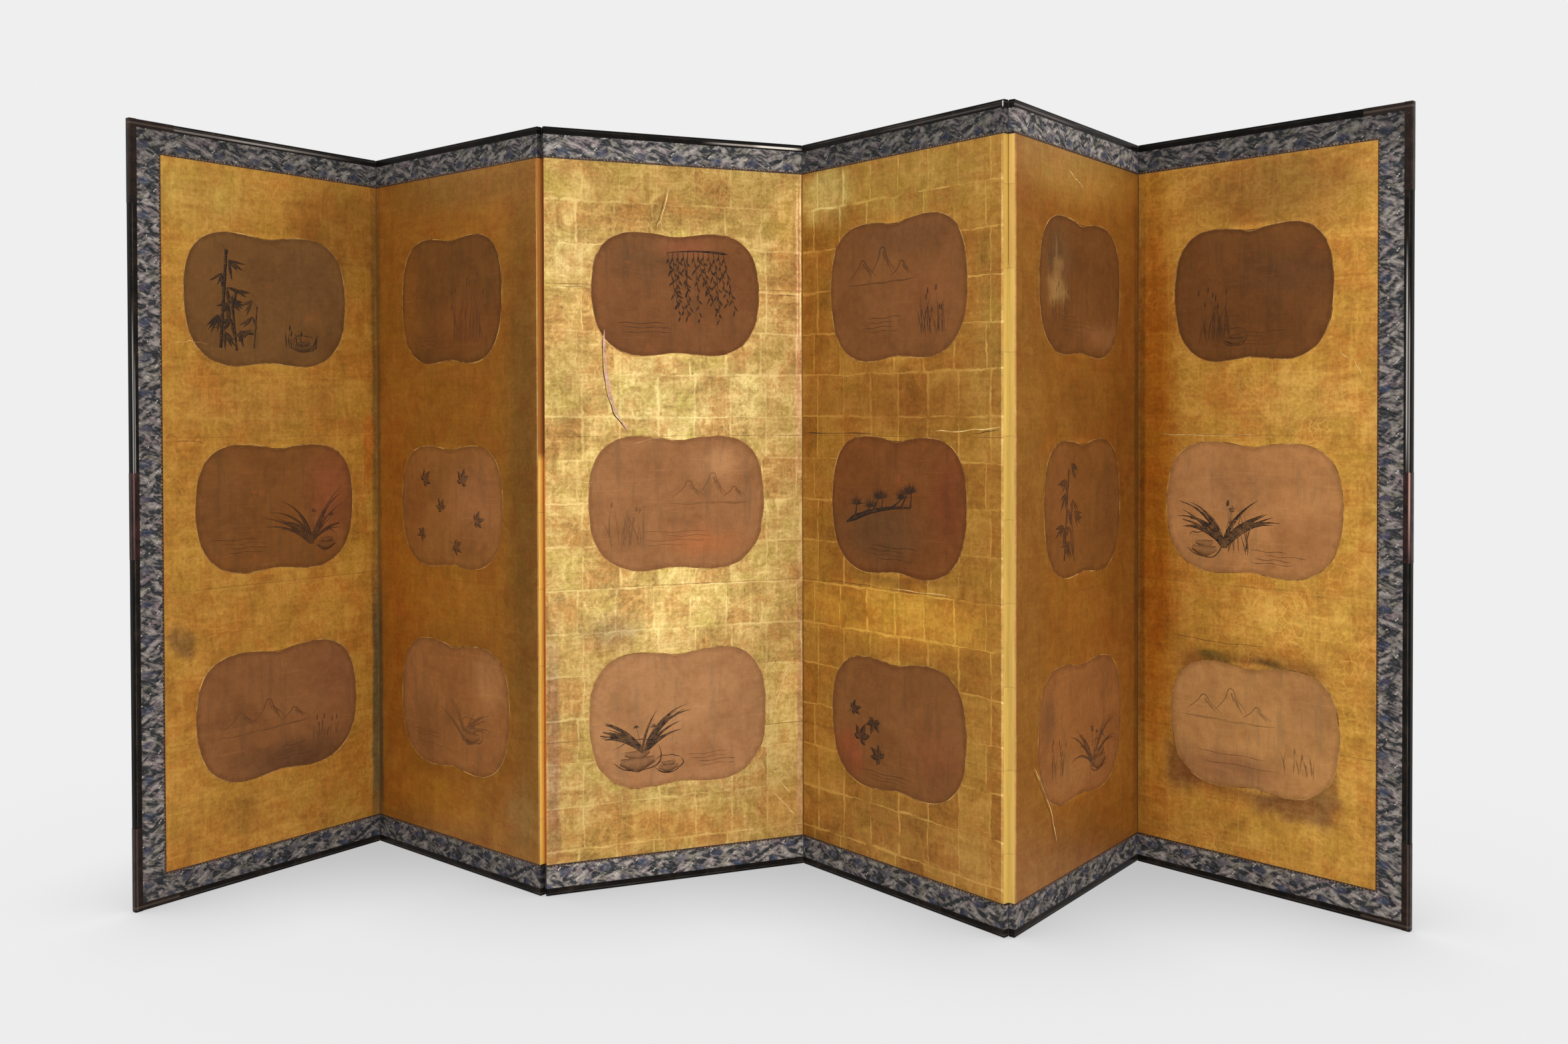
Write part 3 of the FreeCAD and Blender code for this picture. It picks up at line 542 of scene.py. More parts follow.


# Each panel's gold: tone, strength of squares, seams, mottling, clouds, specks, cracks, joins, and patches
# The tones and broad patches are partly each panel's own gold and partly painted light: they were set to how
# bright each panel and band shows, so they carry painted shade and painted reflections, such as the darker,
# more orange gold of panels 2 and 5
gold_looks = {
    1: ((170, 120, 46), (0.12, 0.3, 0.6, 0.25, 0.4, 0.6, 0.5), [
        (150, 1575, 150, 90, 0.8, 40, 0, (166, 127, 53), 0.85),
        (530, 1500, 170, 170, 0.8, 30, 0, (132, 88, 32), 0.8),
        (330, 1100, 280, 70, 0.8, 40, 0, (164, 116, 50), 0.5),
        (500, 620, 120, 90, 0.8, 40, 0, (184, 132, 52), 0.6),
        (570, 900, 50, 620, 0.9, 20, 0, (180, 128, 48), 0.5),
        (596, 1000, 20, 90, 0.7, 20, 0, (176, 96, 28), 0.7),
        (92, 575, 34, 38, 0.6, 45, 0, (102, 68, 42), 0.6),
        (614, 1150, 9, 520, 0.7, 8, 1, (108, 78, 36), 0.7),
        (613, 360, 11, 330, 0.5, 8, 1, (98, 80, 48), 0.9),
        (250, 150, 40, 60, 0.8, 40, 0, (140, 92, 36), 0.5),
    ]),
    2: ((144, 93, 31), (0.05, 0.1, 0.42, 0.2, 0.2, 0.15, 0.3), [
        (300, 1610, 320, 60, 0.9, 20, 0, (134, 92, 38), 0.8),
        (575, 900, 75, 800, 0.8, 20, 0, (112, 76, 30), 0.85),
        (90, 620, 130, 420, 0.9, 20, 0, (150, 88, 22), 0.6),
        (300, 640, 200, 90, 0.9, 30, 0, (160, 106, 37), 0.7),
        (260, 150, 200, 60, 0.8, 30, 0, (168, 112, 34), 0.7),
        (560, 170, 60, 90, 0.7, 50, 0, (136, 100, 48), 0.6),
        (5, 1150, 9, 520, 0.7, 6, 1, (100, 72, 34), 0.6),
        (7, 360, 9, 330, 0.5, 6, 1, (90, 72, 44), 0.85),
        # painted highlight along the hinge corner, with some wear
        (620, 860, 2.2, 800, 0.3, 1, 1, (206, 166, 104), 0.7),
    ]),
    3: ((178, 143, 78), (0.3, 1.0, 0.78, 0.3, 0.9, 0.6, 0.9), [
        (330, 1600, 330, 130, 0.8, 40, 0, (147, 111, 50), 0.8),
        (330, 1110, 260, 110, 0.8, 50, 0, (183, 156, 92), 0.75),
        (50, 1120, 60, 130, 0.8, 40, 0, (164, 132, 72), 0.7),
        (60, 1430, 60, 80, 0.8, 40, 0, (176, 147, 86), 0.7),
        (300, 640, 270, 90, 0.8, 50, 0, (210, 178, 105), 0.75),
        (585, 1480, 40, 170, 0.8, 30, 0, (188, 142, 72), 0.7),
        (590, 400, 50, 160, 0.8, 30, 0, (204, 164, 88), 0.65),
        (580, 140, 90, 90, 0.8, 40, 0, (164, 114, 48), 0.85),
        (280, 120, 260, 70, 0.8, 40, 0, (180, 134, 62), 0.8),
        (150, 585, 75, 45, 0.7, 60, 0, (152, 124, 80), 0.75),
        (16, 330, 16, 280, 0.7, 12, 1, (146, 110, 78), 0.7),
        (612, 1280, 9, 380, 0.6, 6, 1, (196, 146, 98), 0.8),
        (610, 1440, 1.5, 200, 0.4, 1, 1, (240, 198, 124), 0.8),
        (618, 1440, 1.8, 200, 0.4, 1, 1, (236, 190, 116), 0.7),
        (614, 420, 6, 360, 0.6, 6, 1, (184, 138, 94), 0.7),
    ]),
    4: ((158, 110, 42), (0.36, 1.8, 0.58, 0.35, 0.4, 0.2, 0.8), [
        (330, 1580, 330, 90, 0.7, 30, 0, (164, 124, 52), 0.8),
        (40, 1250, 45, 290, 0.7, 30, 0, (150, 98, 35), 0.7),
        (80, 1590, 90, 70, 0.7, 40, 0, (194, 166, 92), 0.85),
        (300, 1110, 290, 80, 0.7, 40, 0, (142, 92, 34), 0.85),
        (575, 1240, 45, 230, 0.7, 40, 0, (166, 124, 54), 0.8),
        (330, 630, 330, 75, 0.7, 30, 0, (196, 143, 52), 0.85),
        (190, 160, 230, 100, 0.7, 60, 0, (164, 117, 50), 0.8),
        (510, 130, 110, 70, 0.8, 50, 0, (160, 114, 50), 0.6),
        (300, 712, 180, 22, 0.8, 30, 0, (124, 82, 32), 0.6),
        # painted highlight along the hinge corner
        (619, 860, 3, 800, 0.3, 1, 1, (226, 184, 104), 0.85),
    ]),
    5: ((147, 95, 34), (0.04, 0.1, 0.42, 0.2, 0.2, 0.15, 0.3), [
        (300, 1610, 330, 70, 0.9, 20, 0, (176, 131, 58), 0.85),
        (60, 860, 90, 620, 0.9, 20, 0, (138, 96, 40), 0.7),
        (500, 1050, 130, 520, 0.9, 30, 0, (121, 74, 23), 0.75),
        (400, 130, 260, 80, 0.9, 30, 0, (134, 83, 27), 0.8),
        (280, 1100, 170, 90, 0.9, 30, 0, (126, 83, 30), 0.8),
        (612, 860, 12, 800, 0.7, 8, 1, (88, 56, 22), 0.6),
        # painted highlight along the hinge corner
        (3, 860, 3.4, 800, 0.3, 1, 1, (222, 168, 104), 0.8),
    ]),
    6: ((188, 136, 55), (0.1, 0.35, 0.62, 0.25, 0.4, 0.8, 0.5), [
        # painted reflection of panel 5's gold along the fold
        (42, 900, 62, 830, 0.6, 20, 0, (164, 99, 23), 0.95),
        (340, 1580, 260, 120, 0.8, 40, 0, (128, 86, 34), 0.8),
        (400, 1100, 170, 90, 0.8, 50, 0, (200, 152, 71), 0.7),
        (400, 630, 170, 80, 0.8, 40, 0, (218, 170, 76), 0.6),
        (282, 372, 190, 172, 0.2, 8, 0.8, (136, 90, 42), 0.75),
        (120, 262, 50, 66, 0.5, 30, 0.5, (120, 80, 42), 0.8),
        (385, 214, 112, 38, 0.5, 30, 0.5, (124, 82, 42), 0.8),
        (462, 250, 26, 80, 0.5, 30, 0.5, (126, 84, 42), 0.7),
        (196, 524, 50, 12, 0.7, 40, 0, (106, 82, 38), 0.8),
        (330, 511, 44, 14, 0.7, 40, 0, (104, 80, 38), 0.8),
        (560, 900, 14, 780, 0.8, 10, 1, (186, 138, 64), 0.5),
        (10, 860, 10, 800, 0.7, 5, 1, (100, 60, 20), 0.6),
    ]),
}


def halo(number, place, tone):
    """The brighter gold that runs round a fan paper, as a patch a little larger than the paper."""
    middle = fan_centre(number, place) * 1000
    half_wide = 512 * fan_wide * fan_wide_shares[number][place]
    half_tall = 520 * fan_tall * fan_tall_shares[number][place]
    lit = tuple(min(255, round(part * share)) for part, share in zip(tone, (1.14, 1.18, 1.24)))
    return middle.x, middle.z, half_wide, half_tall, 0.06, 6, 0.25, lit, halo_strengths[number]


halo_strengths = {1: 0.4, 2: 0.4, 3: 0.45, 4: 0.75, 5: 0.45, 6: 0.45}
gold_materials = {}
for number in panel_numbers:
    tone, strengths, patches = gold_looks[number]
    material, tree, shader = new_material("gold_leaf_panel_%d" % number)
    flat, warp = flat_and_warp(tree, panel_point(tree, number))
    patches = patches + [halo(number, place, tone) for place in range(3)]
    inputs = {"Point": flat, "Warp": warp, "Tone": toned_by_patches(tree, flat, warp, tone, patches),
              "Shift": (0.031 * number, 0.0, 0.21 * number)}
    inputs.update(zip(("Squares", "Seams", "Mottle", "Clouds", "Specks", "Crackle", "Joins"), strengths))
    made = use(tree, gold_leaf, inputs)
    tree.links.new(made["Color"], shader.inputs["Base Color"])
    tree.links.new(made["Roughness"], shader.inputs["Roughness"])
    shader.inputs["Metallic"].default_value = 0.4
    shader.inputs["Specular IOR Level"].default_value = 0.2
    relief(tree, shader, made["Height"], 0.4, 0.0006)
    gold_materials[number] = material


# Brocade: a dark slate ground with slim taupe leaves, and blue hollows and pairs of pale dots in each repeat
repeat_wide = 0.0905
repeat_tall = 0.077
warp_pitch = 0.0006
weft_pitch = 0.0008
blue_hollows = ((45, 50, 15, 9, 12), (6, 22, 12, 7, -14))
pale_dots = (
    (29, 57, 2.2, 1.7, 42), (32.5, 61, 2.2, 1.7, 42), (70, 29, 2.2, 1.7, 42), (73.4, 33, 2.2, 1.7, 42),
    (87, 44, 2.4, 1.5, 20), (52, 8, 2.0, 1.5, 42),
)


def nearest_lobe(tree, point, lobes):
    """How far a point is from the nearest oval of a repeat, in shares of the oval's own size."""
    nearest = None
    for x, z, half_long, half_short, turn in lobes:
        away = vector(tree, "SUBTRACT", point, (x / 1000, z / 1000, 0))
        away = add(tree, "ShaderNodeVectorMath", {
            0: away, 1: (repeat_wide / 2, repeat_tall / 2, 1), 2: (-repeat_wide / 2, -repeat_tall / 2, -1),
        }, operation="WRAP").outputs[0]
        away = add(tree, "ShaderNodeMapping", {
            "Vector": away, "Rotation": (0, 0, math.radians(turn)),
                                               "Scale": (half_long / 1000, half_short / 1000, 1),
        }, vector_type="TEXTURE").outputs[0]
        far = vector(tree, "LENGTH", away)
        nearest = far if nearest is None else calc(tree, "MINIMUM", nearest, far)
    return nearest


def brocade_group():
    tree, source, target = new_group("cloud_brocade", [("Point", "point", None)],
                                     [("Color", "colour"), ("Roughness", "value"), ("Height", "value")])
    x, y, _ = parts_of(tree, source["Point"])
    flat = together(tree, x, y)
    waver = vector(tree, "SUBTRACT", noise(tree, flat, 95.0, 3.0, 0.6, colour=True), (0.5, 0.5, 0.5))
    ragged = vector(tree, "ADD", flat, vector(tree, "SCALE", waver, Scale=0.009))
    # slim leaves that lean one way here and the other way there
    falling = stretched(tree, stretched(tree, flat, (1, 1, 1), (0, 0, math.radians(20))), (30, 84, 1))
    rising = stretched(tree, stretched(tree, flat, (1, 1, 1), (0, 0, math.radians(-26))), (32, 88, 1))
    side = band(tree, noise(tree, flat, 20.0, 1.0), 0.46, 0.52)
    leaves = mix(tree, side, noise(tree, falling, 1.0, 3.0, 0.5), noise(tree, rising, 1.0, 3.0, 0.5))
    cloud = band(tree, leaves, 0.45, 0.52)
    heart = band(tree, leaves, 0.56, 0.64)
    hollow = band(tree, nearest_lobe(tree, ragged, blue_hollows), 0.75, 1.15, 1.0, 0.0)
    cloud = times(tree, cloud, band(tree, hollow, 0.0, 1.0, 1.0, 0.3))
    dot = band(tree, nearest_lobe(tree, vector(tree, "ADD", flat, vector(tree, "SCALE", waver, Scale=0.001)),
                                  pale_dots), 0.75, 1.1, 1.0, 0.0)
    tint = noise(tree, flat, 55.0, 2.0)
    ground = mix(tree, band(tree, tint, 0.35, 0.65), linear(32, 34, 37), linear(54, 56, 60))
    dye = noise(tree, flat, 24.0, 1.0)
    dyed = mix(tree, band(tree, tint, 0.35, 0.65), linear(40, 46, 62), linear(60, 72, 96))
    dyed = mix(tree, band(tree, dye, 0.5, 0.6), dyed, linear(70, 62, 86))
    ground = mix(tree, times(tree, hollow, 0.9), ground, dyed)
    leafy = mix(tree, band(tree, noise(tree, flat, 120.0, 2.0), 0.35, 0.65), linear(90, 85, 83),
                linear(142, 133, 127))
    leafy = mix(tree, band(tree, dye, 0.56, 0.62, 0.0, 0.6), leafy, linear(104, 100, 80))
    leafy = mix(tree, band(tree, dye, 0.44, 0.38, 0.0, 0.5), leafy, linear(118, 96, 104))
    leafy = mix(tree, times(tree, heart, 0.6), leafy, linear(180, 172, 164))
    woven = mix(tree, cloud, ground, leafy)
    # short floats of silk, light on the leaves and now and then on the ground
    floats = noise(tree, stretched(tree, falling, (2.6, 2.4, 1)), 1.0, 3.0, 0.65)
    lit = band(tree, floats, 0.54, 0.62)
    sunk = band(tree, floats, 0.45, 0.38)
    woven = mix(tree, times(tree, lit, band(tree, cloud, 0.0, 1.0, 0.34, 0.5)), woven, linear(156, 150, 144))
    woven = mix(tree, times(tree, sunk, band(tree, cloud, 0.0, 1.0, 0.3, 0.6)), woven, linear(44, 44, 46))
    woven = mix(tree, times(tree, dot, 0.85), woven, linear(196, 190, 180))
    warp = calc(tree, "SINE", times(tree, x, 2 * math.pi / warp_pitch))
    weft = calc(tree, "SINE", times(tree, y, 2 * math.pi / weft_pitch))
    thread = times(tree, times(tree, warp, weft), 0.5)
    woven = mix(tree, plus(tree, times(tree, thread, 0.14), 0.1, clamp=True), woven, linear(30, 30, 34))
    tree.links.new(woven, target["Color"])
    tree.links.new(band(tree, cloud, 0.0, 1.0, 0.78, 0.58), target["Roughness"])
    raised = plus(tree, times(tree, thread, 0.3), times(tree, cloud, 0.6))
    raised = plus(tree, raised, times(tree, minus(tree, lit, sunk), 0.4))
    tree.links.new(plus(tree, raised, dot), target["Height"])
    return tree


cloud_brocade = brocade_group()


def brocade_finish(number, turned_shade_share, shade_levels):
    """The brocade with painted light and shade: scaled lighter or darker in its low strip, sides and high
    strip, and darker where it turns over the hinge edge.
    """
    material, tree, shader = new_material("silk_brocade_panel_%d" % number)
    weave_map = add(tree, "ShaderNodeUVMap", uv_map="cloth").outputs[0]
    made = use(tree, cloud_brocade, {"Point": vector(tree, "ADD", weave_map, (0.031 * number, 0, 0))})
    along, up, _ = parts_of(tree, weave_map)
    off_middle = calc(tree, "ABSOLUTE", minus(tree, along, wide / 2))
    # painted shade on the cloth turned over the hinge edge, and painted light and shade by strip
    turned = band(tree, off_middle, wide / 2 + 0.0004, wide / 2 + 0.002, 1.0, turned_shade_share)
    low, middle, high = shade_levels
    level = plus(tree, band(tree, up, border, border + 0.04, low - middle, 0.0),
                 band(tree, up, tall - border - 0.04, tall - border, middle, high))
    tree.links.new(vector(tree, "SCALE", made["Color"], Scale=times(tree, turned, level)),
                   shader.inputs["Base Color"])
    tree.links.new(made["Roughness"], shader.inputs["Roughness"])
    shader.inputs["Specular IOR Level"].default_value = 0.2
    relief(tree, shader, made["Height"], 0.5, 0.0003)
    return material


# Painted light and shade of the brocade by panel: how bright its low strip, sides and high strip are made
brocade_shade_levels = {
    1: (0.66, 0.84, 0.59),
    2: (0.56, 0.6, 0.53),
    3: (1.12, 1.0, 0.93),
    4: (0.69, 0.6, 0.44),
    5: (0.68, 0.9, 1.0),
    6: (0.87, 0.88, 0.49),
}
# painted shade where the brocade turns over the hinge edges: strong on panels 2 and 3, slight elsewhere
brocade_materials = {number: brocade_finish(number, 0.5 if number in (2, 3) else 0.95, shade_levels)
                     for number, shade_levels in brocade_shade_levels.items()}

# Inner ribbon: a black cord along the gold, then slanting dashes of dark orange and dull yellow on black
dash_pitch = 0.0078
ribbon_material, tree, shader = new_material("dashed_ribbon")
ribbon_map = add(tree, "ShaderNodeUVMap", uv_map="cloth").outputs[0]
x, y, z = parts_of(tree, ribbon_map)
shifted = times(tree, noise(tree, stretched(tree, ribbon_map, (90, 1, 1)), 1.0, 2.0), 0.012)
slant = plus(tree, plus(tree, x, shifted), times(tree, y, 0.5))
slant = calc(tree, "FRACT", calc(tree, "DIVIDE", slant, dash_pitch))
lit = times(tree, band(tree, slant, 0.5, 0.62), band(tree, slant, 0.88, 1.0, 1.0, 0.0))
kept = noise(tree, stretched(tree, ribbon_map, (140, 30, 1), shift=(3, 0, 0)), 1.0, 2.0)
lit = times(tree, lit, band(tree, kept, 0.36, 0.56, 0.15, 1.0))
uneven = noise(tree, stretched(tree, ribbon_map, (160, 1, 1)), 1.0, 3.0, 0.7)
cord_edge = band(tree, uneven, 0.3, 0.7, 0.001, 0.0026)
lit = times(tree, lit, band(tree, minus(tree, y, cord_edge), 0.0, 0.0004))
which = noise(tree, stretched(tree, ribbon_map, (60, 20, 1)), 1.0, 1.0)
dash = mix(tree, band(tree, which, 0.42, 0.6), linear(134, 68, 36), linear(166, 120, 62))
tree.links.new(mix(tree, lit, linear(22, 17, 16), dash), shader.inputs["Base Color"])
shader.inputs["Roughness"].default_value = 0.62
thread = calc(tree, "SINE", times(tree, x, 2 * math.pi / weft_pitch))
relief(tree, shader, plus(tree, lit, times(tree, thread, 0.3)), 0.5, 0.0003)


# Fan paper: browned silk paper with a woven grain, darker at the rim, blotched and faintly streaked
def fan_paper_group():
    tree, source, target = new_group("browned_paper", [
        ("Point", "point", None),
        ("Warp", "point", None),
        ("Tone", "colour", linear(120, 76, 46)),
        ("Rim", "value", 1.0),
        ("Blotches", "value", 0.6),
        ("Seed", "value", 0.0),
    ], [("Color", "colour"), ("Roughness", "value"), ("Height", "value")])
    x, z, _ = parts_of(tree, source["Point"])
    flat = together(tree, x, z, source["Seed"])
    shade = vector(tree, "MULTIPLY", source["Tone"], (0.55, 0.5, 0.46))
    light = vector(tree, "MULTIPLY", source["Tone"], (1.32, 1.38, 1.5))
    broad = band(tree, noise(tree, flat, 9.0, 4.0, 0.6, 0.6), 0.3, 0.7, -1.0, 1.0)
    small = band(tree, noise(tree, flat, 46.0, 5.0, 0.72), 0.3, 0.7, -0.7, 0.7)
    level = times(tree, plus(tree, broad, small), source["Blotches"])
    toned = mix(tree, times(tree, level, -0.7, clamp=True), source["Tone"], shade)
    toned = mix(tree, times(tree, level, 0.7, clamp=True), toned, light)
    warp = noise(tree, stretched(tree, flat, (900, 60, 1)), 1.0, 2.0)
    weft = noise(tree, stretched(tree, flat, (60, 900, 1)), 1.0, 2.0)
    grain = plus(tree, warp, weft)
    toned = mix(tree, band(tree, grain, 0.82, 1.25, 0.0, 0.3), toned, shade)
    creased = noise(tree, stretched(tree, flat, (7, 150, 1)), 1.0, 3.0, 0.6)
    toned = mix(tree, band(tree, creased, 0.6, 0.72, 0.0, 0.35), toned, light)
    stripes = noise(tree, stretched(tree, flat, (52, 6, 1)), 1.0, 4.0, 0.7)
    toned = mix(tree, band(tree, stripes, 0.52, 0.66, 0.0, 0.5), toned,
                vector(tree, "MULTIPLY", source["Tone"], (0.6, 0.72, 0.86)))
    flecks = band(tree, noise(tree, flat, 150.0, 5.0, 0.8), 0.62, 0.7, 0.0, 0.5)
    toned = mix(tree, flecks, toned, shade)
    rust = band(tree, noise(tree, flat, 27.0, 5.0, 0.76, 0.5), 0.6, 0.7)
    toned = mix(tree, times(tree, rust, times(tree, source["Blotches"], 0.45)), toned, linear(150, 74, 36))
    rim = plus(tree, source["Rim"], times(tree, small, 0.25))
    rim = band(tree, rim, 0.05, 0.65, 0.7, 0.0)
    toned = mix(tree, rim, toned, shade)
    tree.links.new(toned, target["Color"])
    tree.links.new(band(tree, grain, 0.8, 1.3, 0.66, 0.82), target["Roughness"])
    tree.links.new(grain, target["Height"])
    return tree


browned_paper = fan_paper_group()

# Fan papers from low to high: tone, then patches in mm about the fan's own middle
fan_looks = {
    1: (((125, 80, 43), [(40, -120, 170, 45, 0.8, 30, 0, (84, 54, 32), 0.7),
                         (150, 40, 90, 120, 0.9, 30, 0, (132, 84, 50), 0.5)]),
        ((115, 71, 30), [(150, 30, 80, 120, 0.9, 20, 0, (134, 74, 42), 0.7),
                         (-150, 20, 90, 110, 0.9, 20, 0, (108, 68, 32), 0.6)]),
        ((104, 69, 33), [(120, 60, 120, 90, 0.9, 30, 0, (110, 75, 40), 0.6)])),
    2: (((138, 88, 45), [(140, 70, 60, 70, 0.6, 30, 0, (162, 112, 66), 0.6),
                         (-100, -60, 110, 70, 0.9, 40, 0, (124, 78, 38), 0.7)]),
        ((131, 83, 37), [(100, 20, 110, 110, 0.9, 30, 0, (144, 94, 56), 0.7),
                         (-150, 0, 60, 140, 0.9, 30, 0, (128, 76, 30), 0.8)]),
        ((101, 62, 24), [(60, -60, 140, 70, 0.9, 30, 0, (118, 66, 28), 0.6),
                         (-170, 0, 60, 150, 0.9, 20, 0, (126, 76, 26), 0.8)])),
    3: (((164, 117, 75), [(20, -100, 190, 60, 0.9, 30, 0, (152, 102, 64), 0.6)]),
        ((145, 98, 59), [(110, 90, 70, 45, 0.8, 30, 0, (178, 128, 84), 0.7),
                         (60, -90, 90, 40, 0.9, 30, 0, (168, 98, 54), 0.6)]),
        ((114, 71, 37), [(-60, 90, 130, 60, 0.9, 40, 0, (100, 66, 36), 0.8),
                         (20, 110, 70, 26, 0.8, 30, 0, (140, 82, 50), 0.6)])),
    4: (((120, 76, 38), [(-150, -70, 60, 60, 0.8, 50, 0, (132, 68, 36), 0.7),
                         (120, -40, 90, 70, 0.9, 40, 0, (128, 74, 42), 0.6)]),
        ((112, 65, 28), [(-60, -60, 150, 90, 0.9, 30, 0, (92, 62, 34), 0.8),
                         (160, 20, 50, 120, 0.9, 30, 0, (112, 56, 28), 0.7)]),
        ((118, 74, 37), [(30, 110, 150, 40, 0.9, 30, 0, (104, 68, 38), 0.8),
                         (90, -30, 110, 80, 0.9, 30, 0, (128, 78, 42), 0.6)])),
    5: (((137, 86, 42), [(-60, -90, 140, 50, 0.8, 40, 0, (146, 98, 52), 0.7),
                         (-160, 50, 40, 60, 0.8, 20, 0, (96, 62, 34), 0.6)]),
        ((116, 71, 28), [(-120, 30, 90, 120, 0.9, 30, 0, (126, 76, 36), 0.6),
                         (150, 0, 60, 140, 0.9, 20, 0, (104, 64, 26), 0.7)]),
        ((106, 64, 26), [(120, -100, 110, 30, 0.8, 30, 0, (136, 88, 48), 0.6),
                         (-110, 60, 60, 80, 0.8, 40, 0, (94, 64, 36), 0.7),
                         (-120, -4, 48, 34, 0.8, 50, 0, (150, 110, 60), 0.75),
                         (-112, 36, 20, 34, 0.7, 40, 0, (142, 102, 56), 0.7),
                         (-122, 76, 6, 40, 0.8, 14, 0, (134, 100, 62), 0.6)])),
    6: (((175, 126, 73), [(-60, -100, 150, 50, 0.8, 40, 0, (138, 92, 56), 0.8),
                          (130, 60, 60, 60, 0.9, 30, 0, (146, 102, 62), 0.6)]),
        ((171, 119, 70), [(-60, 40, 120, 80, 0.9, 30, 0, (158, 110, 68), 0.6),
                          (120, -60, 80, 60, 0.9, 30, 0, (142, 92, 52), 0.6)]),
        ((105, 64, 28), [(80, 40, 120, 60, 0.9, 30, 0, (92, 58, 30), 0.7)])),
}
def fan_material(number, place):
    tone, patches = fan_looks[number][place]
    centre = fan_centre(number, place) * 1000
    moved = [(x + centre.x, z + centre.z, *rest) for x, z, *rest in patches]
    material, tree, shader = new_material("fan_paper_%d_%s" % (number, fan_places[place]))
    flat, warp = flat_and_warp(tree, panel_point(tree, number))
    rim = add(tree, "ShaderNodeAttribute", attribute_name="rim", attribute_type="GEOMETRY").outputs["Fac"]
    made = use(tree, browned_paper, {
        "Point": flat, "Warp": warp, "Tone": toned_by_patches(tree, flat, warp, tone, moved),
        "Rim": rim, "Blotches": 0.6, "Seed": 1.7 * number + 0.6 * place,
    })
    tree.links.new(made["Color"], shader.inputs["Base Color"])
    tree.links.new(made["Roughness"], shader.inputs["Roughness"])
    shader.inputs["Specular IOR Level"].default_value = 0.12
    relief(tree, shader, made["Height"], 0.25, 0.0003)
    return material


# Rim lines round the fan papers, where the gold stops short of the paper's edge
rim_material, tree, shader = new_material("pale_gold_rim")
point = add(tree, "ShaderNodeTexCoord").outputs["Object"]
broken = band(tree, noise(tree, point, 24.0, 4.0, 0.7), 0.42, 0.64)
tree.links.new(mix(tree, broken, linear(116, 78, 38), linear(202, 158, 88)), shader.inputs["Base Color"])
shader.inputs["Roughness"].default_value = 0.5
shader.inputs["Metallic"].default_value = 0.4
shader.inputs["Specular IOR Level"].default_value = 0.2


# Lacquer: near black, glossy, worn to brown along the edges and dulled by fine dust, with a pale painted
# highlight line along the moulding
def lacquer_group():
    tree, source, target = new_group("old_lacquer", [
        ("Point", "point", None), ("Wear", "value", 0.4), ("Inward", "value", 0.01),
    ], [("Color", "colour"), ("Roughness", "value"), ("Height", "value")])
    point = source["Point"]
    x, y, z = parts_of(tree, point)
    cloud = noise(tree, point, 14.0, 4.0, 0.6)
    toned = mix(tree, band(tree, cloud, 0.35, 0.7), linear(17, 15, 14), linear(28, 25, 22))
    toned = mix(tree, band(tree, source["Inward"], 0.0034, 0.0042, 0.6, 0.0), toned, linear(10, 9, 9))
    # painted highlight: a pale line along the moulding, a set distance in from the outer edge, broken by
    # noise
    line = calc(tree, "PINGPONG", minus(tree, source["Inward"], highlight_line_inset), 1.0)
    line = band(tree, line, 0.0004, 0.0011, 1.0, 0.0)
    wear_and_sheen = band(tree, noise(tree, stretched(tree, point, (9, 9, 9)), 1.0, 3.0, 0.6), 0.4, 0.66, 0.04, 0.5)
    toned = mix(tree, times(tree, line, wear_and_sheen), toned, linear(104, 98, 92))
    near_front = band(tree, y, -0.0012, 0.0006, 1.0, 0.0)
    scuff = band(tree, noise(tree, stretched(tree, point, (30, 120, 30)), 1.0, 5.0, 0.75), 0.5, 0.66)
    scuff = times(tree, times(tree, scuff, near_front), source["Wear"], clamp=True)
    toned = mix(tree, scuff, toned, linear(84, 66, 52))
    dust = noise(tree, point, 260.0, 3.0, 0.7)
    tree.links.new(toned, target["Color"])
    tree.links.new(plus(tree, band(tree, dust, 0.3, 0.7, 0.2, 0.36), times(tree, scuff, 0.3)),
                   target["Roughness"])
    tree.links.new(plus(tree, cloud, times(tree, dust, 0.2)), target["Height"])
    return tree


# How far in from the outer edge the painted highlight line runs
highlight_line_inset = 0.0054
# Painted highlights: pale reflections on the rails and stiles by panel, as patches in mm
frame_painted_highlights = {
    1: [(250, 1709.4, 260, 2.6, 0.5, 0, 1, (112, 104, 98), 0.8),
        (300, 1709.4, 90, 2.2, 0.6, 0, 1, (150, 144, 138), 0.6),
        (-12.6, 1085, 1.3, 200, 0.5, 0, 1, (158, 158, 156), 0.8),
        (-8.2, 1050, 1.0, 140, 0.5, 0, 1, (156, 154, 150), 0.7)],
    6: [(628.4, 1190, 1.7, 210, 0.5, 0, 1, (182, 180, 178), 0.8),
        (633.4, 1120, 1.5, 170, 0.5, 0, 1, (160, 156, 152), 0.75)],
    3: [(505, 1709.2, 112, 2.3, 0.5, 0, 1, (176, 164, 154), 0.7),
        (560, 1709.2, 56, 2.6, 0.4, 0, 1, (232, 222, 212), 0.8)],
    4: [(620.6, 1711, 1.6, 6, 0.4, 0, 1, (214, 210, 202), 0.85),
        (440, 1709.6, 180, 2.2, 0.5, 0, 1, (78, 74, 70), 0.6)],
    5: [(90, 1709.6, 200, 2.4, 0.6, 0, 1, (108, 98, 96), 0.6)],
}
old_lacquer = lacquer_group()
lacquer_materials = {}
